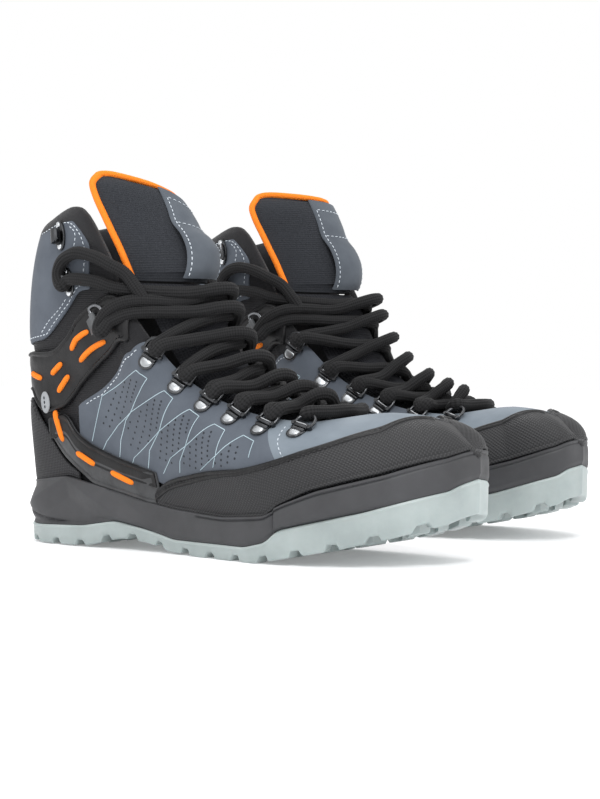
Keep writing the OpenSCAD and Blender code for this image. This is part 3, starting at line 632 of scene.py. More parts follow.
MATERIALS = {
    "quarter": nubuck("slate_nubuck", (0.068, 0.08, 0.1), (0.092, 0.107, 0.13)),
    # The vamp is lighter than the quarter: partly the panel's own paler slate, partly painted light where
    # light falls on the toe.
    "vamp": nubuck("slate_nubuck_with_painted_light", (0.14, 0.168, 0.198), (0.185, 0.218, 0.25)),
    "rand": dotted_rubber("toe_rubber", (0.018, 0.0182, 0.0195), (0.042, 0.0425, 0.0455), 1.5, 0.5, 0.785),
    "heel_cup": dotted_rubber("heel_textile", (0.016, 0.016, 0.018), (0.045, 0.046, 0.049), 1.6, 0.6),
    "strap": leather("black_leather", (0.005, 0.005, 0.0055), (0.012, 0.012, 0.013), 0.42),
    # The arch strap's grey is partly the leather's own tone, partly painted highlight.
    "arch": leather("arch_leather_with_painted_highlight", (0.035, 0.036, 0.038), (0.065, 0.067, 0.07), 0.38),
    "pull": nubuck("pull_nubuck", (0.06, 0.07, 0.085), (0.085, 0.098, 0.115)),
    "tab": leather("grey_leather", (0.07, 0.075, 0.08), (0.12, 0.125, 0.13), 0.5),
    "midsole": moulded("charcoal_foam", (0.034, 0.0345, 0.037), (0.052, 0.053, 0.057), 0.5, 900,
                       Specular_IOR_Level=0.35),
    "outsole": rubber_outsole("grey_green_rubber"),
    "mesh": woven("black_mesh", (0.004, 0.004, 0.005), (0.02, 0.02, 0.022), 1.1, 1.1, 0.5, 0.3),
    "lining": woven("black_textile", (0.005, 0.005, 0.006), (0.018, 0.018, 0.02), 0.8, 0.8, 0.85, 0.2,
                    Sheen_Weight=0.15),
    "tongue": ribbed("tongue_textile", (0.012, 0.0135, 0.0165), (0.036, 0.039, 0.046), 1.5),
    "tongue_low": woven("tongue_mesh", (0.006, 0.006, 0.008), (0.024, 0.025, 0.029), 1.3, 1.3, 0.8, 0.3),
    "orange": woven("orange_weave", (0.72, 0.13, 0.008), (0.95, 0.24, 0.02), 0.7, 0.9, 0.6, 0.15),
    "lace": braided("lace_braid", (0.003, 0.003, 0.003), (0.02, 0.02, 0.021), 1.3),
    "gunmetal": metal("gunmetal", (0.07, 0.072, 0.076), 0.3),
    "steel": metal("steel_wire", (0.16, 0.165, 0.175), 0.28),
    "bright": metal("bright_steel", (0.62, 0.64, 0.66), 0.24),
    "inlay": metal("inlay_steel", (0.38, 0.395, 0.41), 0.36),
    "white_thread": moulded("white_thread", (0.45, 0.5, 0.55), (0.66, 0.71, 0.76), 0.75, 2500),
    "blue_thread": moulded("blue_thread", (0.34, 0.45, 0.5), (0.46, 0.57, 0.62), 0.75, 2500),
    "black_thread": moulded("black_thread", (0.004, 0.004, 0.005), (0.010, 0.010, 0.011), 0.6, 2500),
    # Dark discs stand for holes: partly the black layer seen through them, partly painted shade inside them.
    "hole": moulded("hole_dark", (0.010, 0.012, 0.016), (0.022, 0.026, 0.034), 0.9, 2500),
    "badge": moulded("badge_plastic", (0.2, 0.215, 0.23), (0.32, 0.335, 0.35), 0.4, 900),
    "board": moulded("fibre_board", (0.42, 0.36, 0.24), (0.56, 0.5, 0.36), 0.85, 500),
    "footbed": woven("footbed_cloth", (0.03, 0.032, 0.036), (0.07, 0.073, 0.08), 1.2, 1.2, 0.9, 0.2),
    "floor": shader("floor", (0.86, 0.86, 0.87), 0.8, Emission_Color=(1, 1, 1, 1), Emission_Strength=0.17),
}
colour_by(MATERIALS["floor"], noise(MATERIALS["floor"], 3, 2), (0.84, 0.84, 0.85), (0.88, 0.88, 0.89))

# Lace -------------------------------------------------------------------------------------------
EYELET_TURN = 38
EYELETS = {1: [[4.44, 0.86], [4.98, 0.89], [5.5, 0.905], [5.98, 0.905], [6.48, 0.875], [7, 0.845]],
           -1: [[4.2, 0.84], [4.85, 0.87], [5.42, 0.9], [5.95, 0.9], [6.55, 0.88], [7.15, 0.86]]}
TONGUE_ROWS = [[234, 68, 3, 10], [212, 76, 7, 17], [190, 84, 9, 21], [170, 94, 12, 23],
               [151, 110, 17, 25], [136, 134, 22, 26], [127.5, 157, 30, 28],
               [121, 178, 32, 31], [115.5, 197, 35.5, 34], [110, 214, 37, 36], [105.5, 225, 31, 28]]
STATION_ROW = [1, 2, 2.8, 3.4, 4.3, 4.8, 5.25, 5.6]
CROSSING_ROW = [1.15, 1.7, 2.5, 3.5, 4.35, 5.05, 5.6]
LACE_LIFT = LACE_D / 2 + 1.8
GUIDE_6 = [[92, 47, 137], [104, 38.5, 142]]
GUIDE_7 = [[67, 46.5, 158.5], [81, 45, 156.5], [93, 39.5, 152.5]]
LACE_END = [[49, 44, 162], [54, 45, 170], [66, 46.5, 174], [80, 45.5, 171], [90, 43.5, 166],
            [97, 39.5, 161.5], [103, 37.5, 154], [107, 35, 147]]
TOE_BAR = [[224, 14, 82.5], [227, 0, 83], [224, -14, 82.5]]


def station(s, j):
    if j < 6:
        u, v = EYELETS[s][5 - j]
        return on_skin(u + 0.13, min(v + 0.1, 1), s, PANEL_OUT + 5.4)
    return on_skin(3.66, 0.745, s, COVER_OUT + 6) if j == 6 else on_skin(2.84, 0.74, s, PANEL_OUT + 4.8)


def tongue_axes(rows, row):
    """Row of the tongue's table at a fractional place, its outward and its bow directions."""
    row = np.asarray(row, float)
    r = spline(rows, row)
    t = unit((spline(rows, row + 0.1) - spline(rows, row - 0.1))[..., :2])
    n = columns(t[..., 1], -t[..., 0])
    level = np.clip((r[..., 1:2] - 115) / 42, 0, 1)
    return r, n, unit(n + (np.array([1, 0]) - n) * level)


def on_tongue(rows, row, across, lift):
    """Points above the tongue's front face."""
    r, n, q = tongue_axes(rows, row)
    back = r[..., 2] * across ** 2
    return columns(r[..., 0] + n[..., 0] * lift - q[..., 0] * back, r[..., 3] * across,
                   r[..., 1] + n[..., 1] * lift - q[..., 1] * back)


def over_tongue(row, across, lift):
    return on_tongue(TONGUE_ROWS, row, across, lift)


def mirrored(p, s):
    return np.array([p[0], s * p[1], p[2]], float)


def guides(j, s, up):
    if j == 6:
        return [mirrored(g, s) + [0, 0, up * 3.5] for g in GUIDE_6]
    return [mirrored(g, s) for g in GUIDE_7] if j == 7 else []


def turn_at(s, j):
    """Where the lace bends round the wire of a ring or the neck of a hook."""
    return station(s, j) + np.array([0, s * 1.8, -3.0])


def strand(j, s):
    """From station j on side s over the tongue to the next station on the other side."""
    c = CROSSING_ROW[j]
    a, b = (STATION_ROW[j] + c) / 2, (STATION_ROW[j + 1] + c) / 2
    top = LACE_D + 0.4 if s < 0 else 0
    arch = 3.5 if s < 0 else 0
    return ([station(s, j) + [-3, 0, 1]] + guides(j, s, 1)
            + [over_tongue(a, s * 0.75, LACE_LIFT + 1 + arch * 0.4),
               over_tongue(a + (c - a) * 0.6, s * 0.35, LACE_LIFT + top / 2 + arch * 0.5),
               over_tongue(c, 0, LACE_LIFT + top + arch * 0.6),
               over_tongue(b + (c - b) * 0.6, -s * 0.35, LACE_LIFT + top * 0.8 + arch),
               over_tongue(b, -s * 0.75, LACE_LIFT + 1 + arch)]
            + guides(j + 1, -s, -1)[::-1] + [station(-s, j + 1) + [3, 0, 1], turn_at(-s, j + 1)])


def half_lace(s):
    path = []
    for j in range(7):
        path += strand(j, s if j % 2 == 0 else -s)
    return path + [mirrored(p, -s) for p in LACE_END]


def lace_rib(angle, run):
    """Ten ribs along the lace, with a slight unevenness."""
    return 1 + 0.1 * np.abs(np.cos(5 * angle + 0.01 * run)) - 0.06 + 0.02 * np.sin(run * 0.37 + 2 * angle)


def softened(path, reach):
    """A line with its sharpest bends eased, over reach points each way."""
    kernel = hill(reach)
    eased = np.stack([np.convolve(path[:, k], kernel, "valid") for k in range(3)], -1)
    return np.vstack([path[:1], eased, path[-1:]])


def make_laces():
    route = np.array(half_lace(1)[::-1] + [np.array(p, float) for p in TOE_BAR] + half_lace(-1))
    path = softened(resample(smooth_line(route, 10), 1.0), 3)
    braid = tube(path, LACE_D / 2, 40, wave=lace_rib)
    laces = make("lace_braid", braid, "lace", ["lace"], sharp=80)


make_laces()

# Sole -------------------------------------------------------------------------------------------
SOLE_STATIONS = 560
LUG_H = 4


def ring_of(inset, z):
    """Ring round the sole: inset and z are numbers or one per station."""
    u, s = lane_round(SOLE_STATIONS)
    edge, out = sole_edge(u, s), sole_out(u, s)
    inset = np.broadcast_to(inset, u.shape)
    return np.concatenate([edge - out * inset[:, None], np.broadcast_to(z, u.shape)[:, None]], 1)


def sole_solid(rings):
    n = SOLE_STATIONS
    points = np.vstack(rings)
    faces = grid_faces(len(rings), n, wrap_cols=True).tolist()
    for start in (0, (len(rings) - 1) * n):
        for i in range(n // 2):
            a, b, c, d = i, i + 1, n - i - 1, (n - i) % n
            corners = [a, b, c] if i == 0 else [a, b, d] if i == n // 2 - 1 else [a, b, c, d]
            faces.append([start + k for k in corners])
    uv = np.concatenate([points[:, :1], points[:, 2:]], 1) * MM
    return points, faces, uv


def sole_heights():
    u, s = lane_round(SOLE_STATIONS)
    l = sole_edge(u, s)[:, 0]
    return l, blurred(table(GROUND_Z, l), 3), blurred(table(OUTSOLE_TOP_Z, l), 3), blurred(table(RIM_Z, l), 3)


def midsole_relief(l, z, share):
    """How far the midsole's wall stands in, in mm: heel ridges and groove, toe step and lip."""
    heel_line, wing_line = 23 + (l - 8) / 39 * 18, 41 - (l - 47) * 0.5
    over = z - np.where(l < 47, heel_line, wing_line)
    ridge = np.minimum(-1.9 + 0.34 * np.maximum(over, 0) + 0.3 * np.maximum(-over, 0), 1.6)
    inset = ridge * smooth_step((150 - l) / 60)
    groove_line = 13.5 + 12 * np.exp(-l / 13)
    inset += 1.4 * bump_at(z, groove_line, 0.9) * smooth_step((58 - l) / 20)
    inset -= 2.2 * smooth_step((l - 212) / 2) * smooth_step((285 - l) / 50)
    inset += 1.2 * bump_at(l, 210.5, 1.3)
    inset -= 0.7 * smooth_step((share - 0.9) / 0.04) * (l > 150) * smooth_step((300 - l) / 50)
    inset += 0.6 * bump_at(share, 0.88, 0.03) * (l > 150)
    return np.where(share > 0.97, np.minimum(inset, 0.9), inset)


def make_midsole():
    l, ground, low, rim = sole_heights()
    rings = [ring_of(3.1, ground + 7.15), ring_of(2.5, low + 0.15), ring_of(0.9, low + 0.15)]
    for share in np.linspace(0, 1, 34):
        z = low + 0.3 + (rim - 0.6 - low) * share
        body = 0.6 - 0.9 * smooth_step(share / 0.2) + 0.5 * smooth_step((share - 0.6) / 0.4)
        rings.append(ring_of(body + midsole_relief(l, z, share) * smooth_step(share / 0.08), z))
    top_inset = 0.5 + midsole_relief(l, rim, 1.0)
    rings += [ring_of(top_inset + 0.4, rim - 0.1), ring_of(top_inset + 1.0, rim), ring_of(2.7, rim - 0.3),
              ring_of(2.95, table(FLOOR_Z, l) - 3.2)]
    make("midsole_foam", sole_solid(rings), "midsole", ["midsole"], sharp=35)


NOTCH_PITCH = 21
NOTCH_W = 6


def notch_share(l):
    """1 in the gaps between the lugs of the outsole's edge, 0 on the lugs."""
    phase = np.abs((l + 6) % NOTCH_PITCH - NOTCH_PITCH / 2)
    return smooth_step((phase - (NOTCH_PITCH - NOTCH_W) / 2 + 1.2) / 2)


def make_outsole():
    l, ground, top, _ = sole_heights()
    low = ground + LUG_H * 0.85 * notch_share(l)
    base = ground + LUG_H
    mid = (top + low) / 2
    rings = [ring_of(inset, z) for inset, z in (
        (2.8, base + 2.6), (2.2, top - 0.4), (1.0, top - 0.05), (0.4, top - 0.15), (0.0, top - 0.7),
        (-0.2, top - 1.4), (0.1, top - 2.1), (0.2, mid), (0.5, low + 1.4), (0.9, low + 0.5), (1.6, low),
        (9.0, low), (9.8, low + 0.4), (10.2, base))]
    rubber = join([sole_solid(rings)] + [tread_lug(*place) for place in lug_places()])
    make("outsole_rubber", rubber, "outsole", ["outsole"], sharp=35)


LUG_ROWS = [16, 33, 50, 67, 136, 159, 182, 205, 228, 251, 275]
LUG_OUTLINE = np.array([[-7, -4.5], [4, -4.5], [7.5, 0], [4, 4.5], [-7, 4.5], [-3.5, 0]])


def width_at(l):
    u = np.linspace(0, TIP_U, 400)
    ends = []
    for outline in (SOLE_OUTER, SOLE_INNER):
        line = spline(outline, u)
        ends.append(np.interp(l, line[:, 0], line[:, 1]))
    return ends


def lug_places():
    places = []
    for l in LUG_ROWS:
        outer, inner = width_at(l)
        room = (outer - 19) - (inner + 19)
        count = 2 if room > 26 else 1
        for i in range(count):
            w = (outer + inner) / 2 + (0 if count == 1 else (i - 0.5) * room * 0.62)
            places.append((l, w, 180 if i == 0 else 0))
    return places


def tread_lug(l, w, turn):
    z = table(GROUND_Z, l)
    slope = max(0.0, (table(GROUND_Z, l + 6) - z) / 6)
    c, s = cos_sin(turn)
    flat = LUG_OUTLINE @ np.array([[c, s], [-s, c]])
    rings = []
    for size, height in ((0.86, 0.0), (0.96, 0.5), (1, 1.2), (1.03, LUG_H + 0.8)):
        p = flat * size
        rings.append(columns(l + p[:, 1], w + p[:, 0], z + slope * p[:, 1] + height))
    points = np.vstack(rings)
    return points, ring_faces(4, 6), points[:, [0, 2]] * MM


make_midsole()
make_outsole()

# Upper ------------------------------------------------------------------------------------------
ZIP_WELD = 0.03
QUARTER_LOW = [[2.8, 0.3], [3, 0.24], [3.4, 0.21], [3.9, 0.19], [4.6, 0.15], [6.6, 0.05]]
QUARTER_HIGH = [[2.8, 0.35], [3, 0.38], [3.3, 0.45], [3.6, 0.57], [4, 0.77], [4.25, 0.88],
                [4.45, 0.99], [6.6, 0.99]]
CUFF_LOW = [[0, 0.57], [2.3, 0.58], [2.8, 0.66], [3.2, 0.76]]
CUFF_HIGH = [[0, 0.97], [2.8, 0.97], [3.2, 0.9]]
STRAP_LOW = [[0, 0.42], [1.6, 0.42], [2.2, 0.34], [2.7, 0.36], [3, 0.43], [3.3, 0.53], [3.6, 0.64],
             [4.1, 0.87]]
STRAP_HIGH = [[0, 0.55], [1.8, 0.55], [2.5, 0.54], [2.9, 0.6], [3.3, 0.73], [3.6, 0.87], [3.9, 0.97],
              [4.1, 0.98]]
VAMP_HIGH = [[0, 0.99], [7.7, 0.99], [8, 1], [10, 1]]
RAND_HIGH = [[3.9, 0.09], [3.98, 0.15], [4.12, 0.2], [4.4, 0.25], [5.7, 0.45], [7, 0.6], [8, 0.64],
             [8.3, 0.75], [8.7, 0.9], [9, 1], [10, 1]]
HEEL_HIGH = [[0, 0.4], [1.6, 0.4], [2.2, 0.3], [2.6, 0.18], [3, 0.11]]
ARCH_LOW = [[2.3, 0.29], [2.65, 0.19], [2.95, 0.13], [3.2, 0.08], [3.9, 0.05]]
ARCH_HIGH = [[2.3, 0.33], [2.7, 0.34], [2.88, 0.28], [3.1, 0.25], [3.5, 0.235], [4.2, 0.235]]


def level(v):
    """An edge that runs at one v all the way."""
    return [[0, v], [TIP_U, v]]


def padding(u, v, s, edge):
    """Puffed bands of the base layer beside the cuff and between strap and quarter."""
    band = smooth_step((u - 3.05) / 0.3) * smooth_step((4.3 - u) / 0.4) * smooth_step((v - 0.74) / 0.08)
    seam = (table(QUARTER_HIGH, u) + table(STRAP_LOW, u)) / 2
    slot = bump_at(v, seam, 0.035) * smooth_step((u - 2.7) / 0.2) * smooth_step((4.0 - u) / 0.2)
    return 1.6 * band * smooth_step((1 - v) / 0.1) + 1.9 * slot


def piped_edge(u, v, s, edge):
    """Bead, groove and soft middle of a leather strap."""
    return 0.55 * bump_at(edge, 1.5, 0.7) - 0.45 * bump_at(edge, 3.0, 0.6) + 0.5 * smooth_step((edge - 3) / 5)


def arch_edge(u, v, s, edge):
    """A leather edge whose front end dives under the toe rand."""
    return piped_edge(u, v, s, edge) - 1.6 * smooth_step((u - 3.8) / 0.2)


def band_edge(u, v, s, edge):
    """The bead along the arch strap's top, diving under the rand with it."""
    return rand_edge(u, v, s, edge) - 1.9 * smooth_step((u - 3.78) / 0.2)


def rand_edge(u, v, s, edge):
    """Bead and groove along a rubber edge."""
    return 0.35 * bump_at(edge, 1.3, 0.8) - 0.35 * bump_at(edge, 2.6, 0.4)


def soft_panel(u, v, s, edge):
    return 0.18 * smooth_step((edge - 0.5) / 5)


def creased_vamp(u, v, s, edge):
    """Faint creases across the vamp where the toes bend."""
    crease = np.sin(u * 9 + 4 * v) * smooth_step((7.6 - u) / 0.8) * smooth_step((v - 0.5) / 0.3)
    return 0.25 * crease + 0.15 * smooth_step((edge - 0.5) / 5)


def make_upper():
    def both_sides(u_from, u_to, count, *outline, **more):
        return join([sheet(lane_side(u_from, u_to, count, s), *outline, **more) for s in (1, -1)])

    base = sheet(lane_round(200), level(0.01), level(1), -MESH_T, 0, rows=60, closed=True, over_rim=False,
                 shape=padding, zipped=True, round_edge=0)
    make("base_layer", base, "mesh", ["base_mesh"], weld=ZIP_WELD)
    vamp = sheet(lane_over_toe(6.56, 130), level(0.05), VAMP_HIGH, PANEL_IN, PANEL_OUT + 0.25, rows=34,
                 shape=creased_vamp, zipped=True, round_edge=0)
    make("vamp_panel", vamp, "vamp", ["vamp"], weld=ZIP_WELD)
    for s, where in ((1, "outer"), (-1, "inner")):
        quarter = sheet(lane_side(2.9, 6.62, 90, s), QUARTER_LOW, QUARTER_HIGH, PANEL_IN, PANEL_OUT, rows=36,
                        shape=soft_panel)
        make(f"quarter_panel_{where}", quarter, "quarter", [f"quarter_{where}"])
    cuff = sheet(lane_round_heel(3.2, 120), CUFF_LOW, CUFF_HIGH, PANEL_IN, PANEL_OUT, rows=30,
                 shape=soft_panel)
    make("cuff_panel", cuff, "quarter", ["cuff"])
    rand = sheet(lane_over_toe(3.95, 240), level(0.03), RAND_HIGH, COVER_IN, COVER_OUT - 0.4, rows=34,
                 shape=rand_edge, zipped=True, round_edge=3)
    make("toe_rand_rubber", rand, "rand", ["toe_rand"], weld=ZIP_WELD)
    border_low = [[u, v - (0.05 if u < 8 else 0.07)] for u, v in RAND_HIGH if u < 9]
    border = both_sides(3.94, 8.85, 130, border_low, RAND_HIGH, COVER_OUT - 1.2, COVER_OUT - 0.05, rows=8,
                        shape=rand_edge)
    make("rand_border", border, "strap")
    band_low = [[u, v - 0.075] for u, v in ARCH_HIGH]
    band = both_sides(2.32, 3.98, 70, band_low, ARCH_HIGH, COVER_OUT - 0.9, COVER_OUT + 0.5, rows=10,
                      shape=band_edge)
    make("arch_strap_band", band, "strap")
    heel = sheet(lane_round_heel(2.9, 120), level(0.03), HEEL_HIGH, COVER_IN, COVER_OUT - 0.6, rows=26,
                 shape=soft_panel)
    make("heel_cup_shell", heel, "heel_cup", ["heel_cup"])
    strap = sheet(lane_round_heel(4.0, 170), STRAP_LOW, STRAP_HIGH, COVER_IN - 0.4, COVER_OUT - 0.2, rows=22,
                  shape=piped_edge)
    make("ankle_strap_leather", strap, "strap", ["ankle_strap"])
    arches = both_sides(2.3, 4.0, 70, ARCH_LOW, ARCH_HIGH, COVER_IN, COVER_OUT, rows=16, shape=arch_edge)
    make("arch_strap_leather", arches, "arch", ["arch_straps"])


make_upper()

# Collar padding and lining: a closed roll over the top line and down the inside -----------------
LINING_END_U = 6.6


def lining_ring(u, s):
    """Cross-section of the lining at one place; profile holds (v, offset, rise)."""
    f = np.clip((3.7 - u) / 1.0, 0, 1)
    profile = np.array([
        [0.90, 0.25, 0], [0.945, 0.9 + 0.8 * f, 0], [0.98, 0.6 + 0.8 * f, 0.3 * f], [1.0, -1.0, 1.8 * f],
        [1.0, -3.0 - 1.5 * f, 2.2 * f], [0.985, -5.0 - 3 * f, 0.8 * f], [0.94, -5.3 - 5.5 * f, 0],
        [0.86, -5.3 - 6 * f, 0], [0.76, -5.2 - 5 * f, 0], [0.66, -5.0 - 2 * f, 0], [0.56, -4.9, 0],
        [0.3, -4.9, 0], [0.04, -4.6, 0], [0.03, -2.8, 0], [0.3, -1.6, 0], [0.6, -1.5, 0], [0.85, -1.4, 0],
        [0.90, -0.9, 0]])
    places = np.linspace(3, len(profile) + 3, 64, endpoint=False)
    ring = spline(np.vstack([profile[-3:], profile, profile[:3]]), places)
    p = on_skin(u, np.minimum(ring[:, 0], 1), s, ring[:, 1])
    p[:, 2] += ring[:, 2]
    return p


def make_lining():
    u, s = lane_round_heel(LINING_END_U, 150)
    rings = np.array([lining_ring(a, b) for a, b in zip(u, s)])
    n, m = rings.shape[:2]
    run, across = arc(rings[:, 0]) * MM, arc(rings[n // 2]) * MM
    roll = rings.reshape(-1, 3), ring_faces(n, m), columns(run[:, None], across[None]).reshape(-1, 2)
    for piece in make("collar_lining", roll, "lining", ["lining", "collar_foam"]).values():
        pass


make_lining()

# Tongue -----------------------------------------------------------------------------------------
LEAN = {"right": 0.7, "left": -0.2}
LEAN_FROM_Z = 176
FLAP_ROWS = [[127, 158.2, 30, 28]] + TONGUE_ROWS[7:]
BASE_ROWS = TONGUE_ROWS[:7]


def tongue_solid(rows, ring_step, puff, rib_pitch=0.0, around=64):
    """A padded tongue: closed rings across it, rounded at both ends."""
    last = len(rows) - 1
    centre = spline(rows, np.linspace(0, last, 200))
    length = arc(centre[:, :2])
    count = int(length[-1] / ring_step)
    at = np.interp(np.linspace(0, length[-1], count), length, np.linspace(0, last, 200))
    angle = np.linspace(0, 2 * math.pi, around, endpoint=False)
    a = np.sign(np.cos(angle)) * np.abs(np.cos(angle)) ** 0.55
    side = np.sign(np.sin(angle)) * np.abs(np.sin(angle)) ** 0.8
    depth = 3 + 6 * (1 - a ** 4)
    run = np.linspace(0, length[-1], count)
    rings, uvs = [], []
    for i, row in enumerate(at):
        from_end = min(run[i], length[-1] - run[i])
        close = math.sqrt(max(0.0, 1 - min(1.0, from_end / 4.5)))
        fullness = 1 - 0.97 * close
        wave = 0.0
        if rib_pitch:
            wave = 0.15 * math.cos(2 * math.pi * run[i] / rib_pitch) * (1 - close)
        lift = -depth / 2 + side * depth / 2 * fullness
        swell = puff * (1 - np.abs(a) ** 2.5) * smooth_step(from_end / 14)
        lift = lift + np.clip(side, 0, 1) * (swell + wave * (np.abs(a) < 0.93))
        rings.append(on_tongue(rows, row, a, lift))
        uvs.append(columns(run[i] * MM, a * 0.03))
    return np.vstack(rings), ring_faces(count, around), np.vstack(uvs)


def leaning(points, side):
    """The padded top sinks and narrows towards its lower edge, as in the CAD model."""
    lean = LEAN[side]
    drop = np.maximum(points[:, 2] - LEAN_FROM_Z, 0) * (abs(lean) / 2 - lean * points[:, 1] / 68)
    return columns(points[:, 0], points[:, 1] * (1 - np.maximum(drop, 0) * 0.006), points[:, 2] - drop)


def make_tongue():
    flap = tongue_solid(FLAP_ROWS, 0.375, 1.6, rib_pitch=1.5, around=72)
    base = tongue_solid(BASE_ROWS, 1.6, 0.8)
    tops = make("tongue_top_pad", flap, "tongue", ["tongue_flap"], body="tongue_top",
                sharp=60, leans=True)
    lows = make("tongue_lower_pad", base, "tongue_low", ["tongue_base"], sharp=60)


def piping_path():
    last = len(FLAP_ROWS) - 1
    edge = 1.02
    rows = [0.15, 0.5, 1, 1.5, 2, 2.5, 3, 3.5, 3.85]
    side = [on_tongue(FLAP_ROWS, r, edge, -1.5) for r in rows]
    top = [on_tongue(FLAP_ROWS, last, a, -2.5) + [0, 0, 0.6] for a in (0.9, 0.55, 0.2, 0)]
    half = np.array([side[0] + (side[0] - side[1]) * 0.02] + side + top)
    return smooth_line(np.vstack([half, (half * [1, -1, 1])[-2::-1]]), 6)


def make_piping():
    piping = tube(piping_path(), PIPING_D / 2, 14)
    make("tongue_edge_piping", piping, "orange", ["tongue_piping"], body="tongue_top",
         leans=True)


STRAP_LINE = [[128.4, 158.7], [130.8, 164], [131.6, 171], [130.2, 179], [126, 188], [119.6, 196.5],
              [116.2, 206], [112.4, 215], [108.6, 222.5]]
STRAP_HALF_W = 15
STRAP_T = 1.5
STRAP_BOW = 31 / 32 ** 2


def pull_point(line, across, depth):
    """Point of the pull strap: across in mm, depth below its outer face."""
    t = unit(np.gradient(line, axis=0))
    n = columns(t[:, 1], -t[:, 0])
    p = line[:, None] - n[:, None] * np.asarray(depth)[None, :, None]
    return columns(p[..., 0] - STRAP_BOW * across ** 2, across, p[..., 1])


def make_pull():
    line = resample(smooth_line(STRAP_LINE, 10), 0.9)
    across = STRAP_HALF_W + np.array([0, -0.3, -1])
    across = np.concatenate([-across, np.linspace(-13, 13, 19), across[::-1]])
    edge = STRAP_HALF_W - np.abs(across)
    roll = 0.55 * (1 - np.sqrt(1 - (1 - np.clip(edge / 0.9, 0, 1)) ** 2))
    front = pull_point(line, across, roll)
    back = pull_point(line, across[::-1], STRAP_T - roll[::-1])
    rings = np.concatenate([front, back], 1)
    n, m = rings.shape[:2]
    uv = columns(arc(line)[:, None] * MM, np.concatenate([across, across[::-1]])[None] * MM)
    strap = rings.reshape(-1, 3), ring_faces(n, m), uv.reshape(-1, 2)
    make("tongue_pull_strap", strap, "pull", ["tongue_pull"], body="tongue_top", leans=True)
    seams = join([stitches(on_strap(line, path)) for path in strap_seams()])
    make("tongue_pull_stitching", seams, "white_thread", body="tongue_top", leans=True)


def strap_seams():
    """Seams of the pull strap as (run, across) corners in mm."""
    edge = STRAP_HALF_W - 1.6
    patch_low, patch_high = 41.5, 62
    return [[[1, -edge], [patch_high, -edge]], [[1, edge], [patch_high, edge]],
            [[patch_low, -edge], [patch_low, edge]], [[patch_high, -edge], [patch_high, edge]]]


def on_strap(line, path):
    """Points and normals just above the pull strap, along a path of (run, across)."""
    distance, across = resample(path, 0.5).T
    t = unit(np.gradient(line, axis=0))
    at = along(distance, arc(line), line)
    normal = unit(along(distance, arc(line), columns(t[:, 1], -t[:, 0])))
    points = columns(at[:, 0] - STRAP_BOW * across ** 2, across, at[:, 1])
    raised = points + columns(normal[:, 0], 0, normal[:, 1]) * 0.05
    return np.concatenate([raised, unit(columns(normal[:, 0], 2 * STRAP_BOW * across, normal[:, 1]))], 1)


make_tongue()
make_piping()
make_pull()

# Stitching, thread figures and perforations -----------------------------------------------------
FIGURES = [
    [[4.09, 0.70], [4.35, 0.72], [3.77, 0.45], [3.65, 0.40], [3.53, 0.31], [3.49, 0.24]],
    [[4.09, 0.70], [3.3, 0.43], [3.12, 0.26]],
    [[3.77, 0.45], [3.51, 0.36], [3.33, 0.28], [3.25, 0.23]],
    [[3.77, 0.45], [4.69, 0.75], [4.85, 0.75], [4.3, 0.46], [3.97, 0.33], [3.88, 0.24]],
    [[4.3, 0.46], [3.89, 0.33], [3.69, 0.26], [3.64, 0.22]],
    [[4.3, 0.46], [5.19, 0.77], [5.38, 0.77], [4.83, 0.47], [4.56, 0.35], [4.47, 0.28]],
    [[4.83, 0.47], [4.36, 0.34], [4.12, 0.24]],
    [[4.83, 0.47], [5.68, 0.78], [5.87, 0.77], [5.51, 0.52], [5.31, 0.41]],
    [[5.51, 0.52], [4.97, 0.35]],
    [[5.51, 0.52], [6.19, 0.77], [6.35, 0.73], [6.18, 0.58]]]
FIELDS = [
    [[4.05, 0.67], [4.25, 0.69], [3.75, 0.46], [3.5, 0.36], [3.3, 0.29], [3.2, 0.33], [3.32, 0.43]],
    [[4.62, 0.71], [4.78, 0.72], [4.3, 0.47], [3.95, 0.34], [3.72, 0.25], [3.55, 0.28], [3.6, 0.37],
     [3.8, 0.46]],
    [[5.12, 0.73], [5.3, 0.74], [4.83, 0.48], [4.5, 0.35], [4.2, 0.25], [4.0, 0.28], [4.1, 0.37],
     [4.32, 0.47]],
    [[5.62, 0.74], [5.8, 0.74], [5.48, 0.52], [5.1, 0.38], [4.7, 0.28], [4.5, 0.3], [4.62, 0.39],
     [4.86, 0.48]],
    [[6.1, 0.74], [6.26, 0.71], [6.12, 0.58], [5.7, 0.47], [5.2, 0.38], [5.15, 0.42], [5.52, 0.53]]]
FIELD_SHARE = 0.86
HOLE_PITCH = 5
HOLE_R = 0.72
CORD_R = 1.75
# Rows of stitches: a panel's edge, from u, to u and inset in mm; or a line of (u, v)
WHITE_EDGES = [(QUARTER_HIGH, 3.05, 4.2, 3.0), (CUFF_LOW, 1.2, 3.15, -2.6)]
BLACK_EDGES = [(STRAP_HIGH, 2.9, 3.95, 2.2), (STRAP_LOW, 2.9, 3.95, -2.2)]
WHITE_SEAMS = [[[2.15, 0.6], [2.35, 0.63], [2.6, 0.66], [2.76, 0.69]],
               [[3.12, 0.79], [3.13, 0.88], [2.95, 0.93], [2.5, 0.95], [1.8, 0.952]],
               [[2.72, 0.78], [2.9, 0.83], [2.98, 0.9], [2.8, 0.93]]]
VAMP_SEAM = [[6.72, 0.5], [6.7, 0.62], [6.72, 0.74], [6.82, 0.9]]
DASHES = [[[2.88, 0.54], [3.2, 0.62]], [[3.03, 0.51], [3.49, 0.65]], [[2.41, 0.47], [2.64, 0.5]],
          [[1.67, 0.48], [2.11, 0.46]], [[2.56, 0.41], [2.77, 0.46]], [[2.48, 0.35], [2.64, 0.25]],
          [[2.9, 0.21], [3.18, 0.18]], [[3.4, 0.17], [3.67, 0.15]]]


def inside(polygon, p):
    """Whether a point is in a polygon, by counting the sides that a ray crosses."""
    hit = False
    for (x1, y1), (x2, y2) in zip(polygon, np.roll(polygon, -1, axis=0)):
        if (y1 > p[1]) != (y2 > p[1]) and p[0] < (x2 - x1) * (p[1] - y1) / (y2 - y1) + x1:
            hit = not hit
    return hit


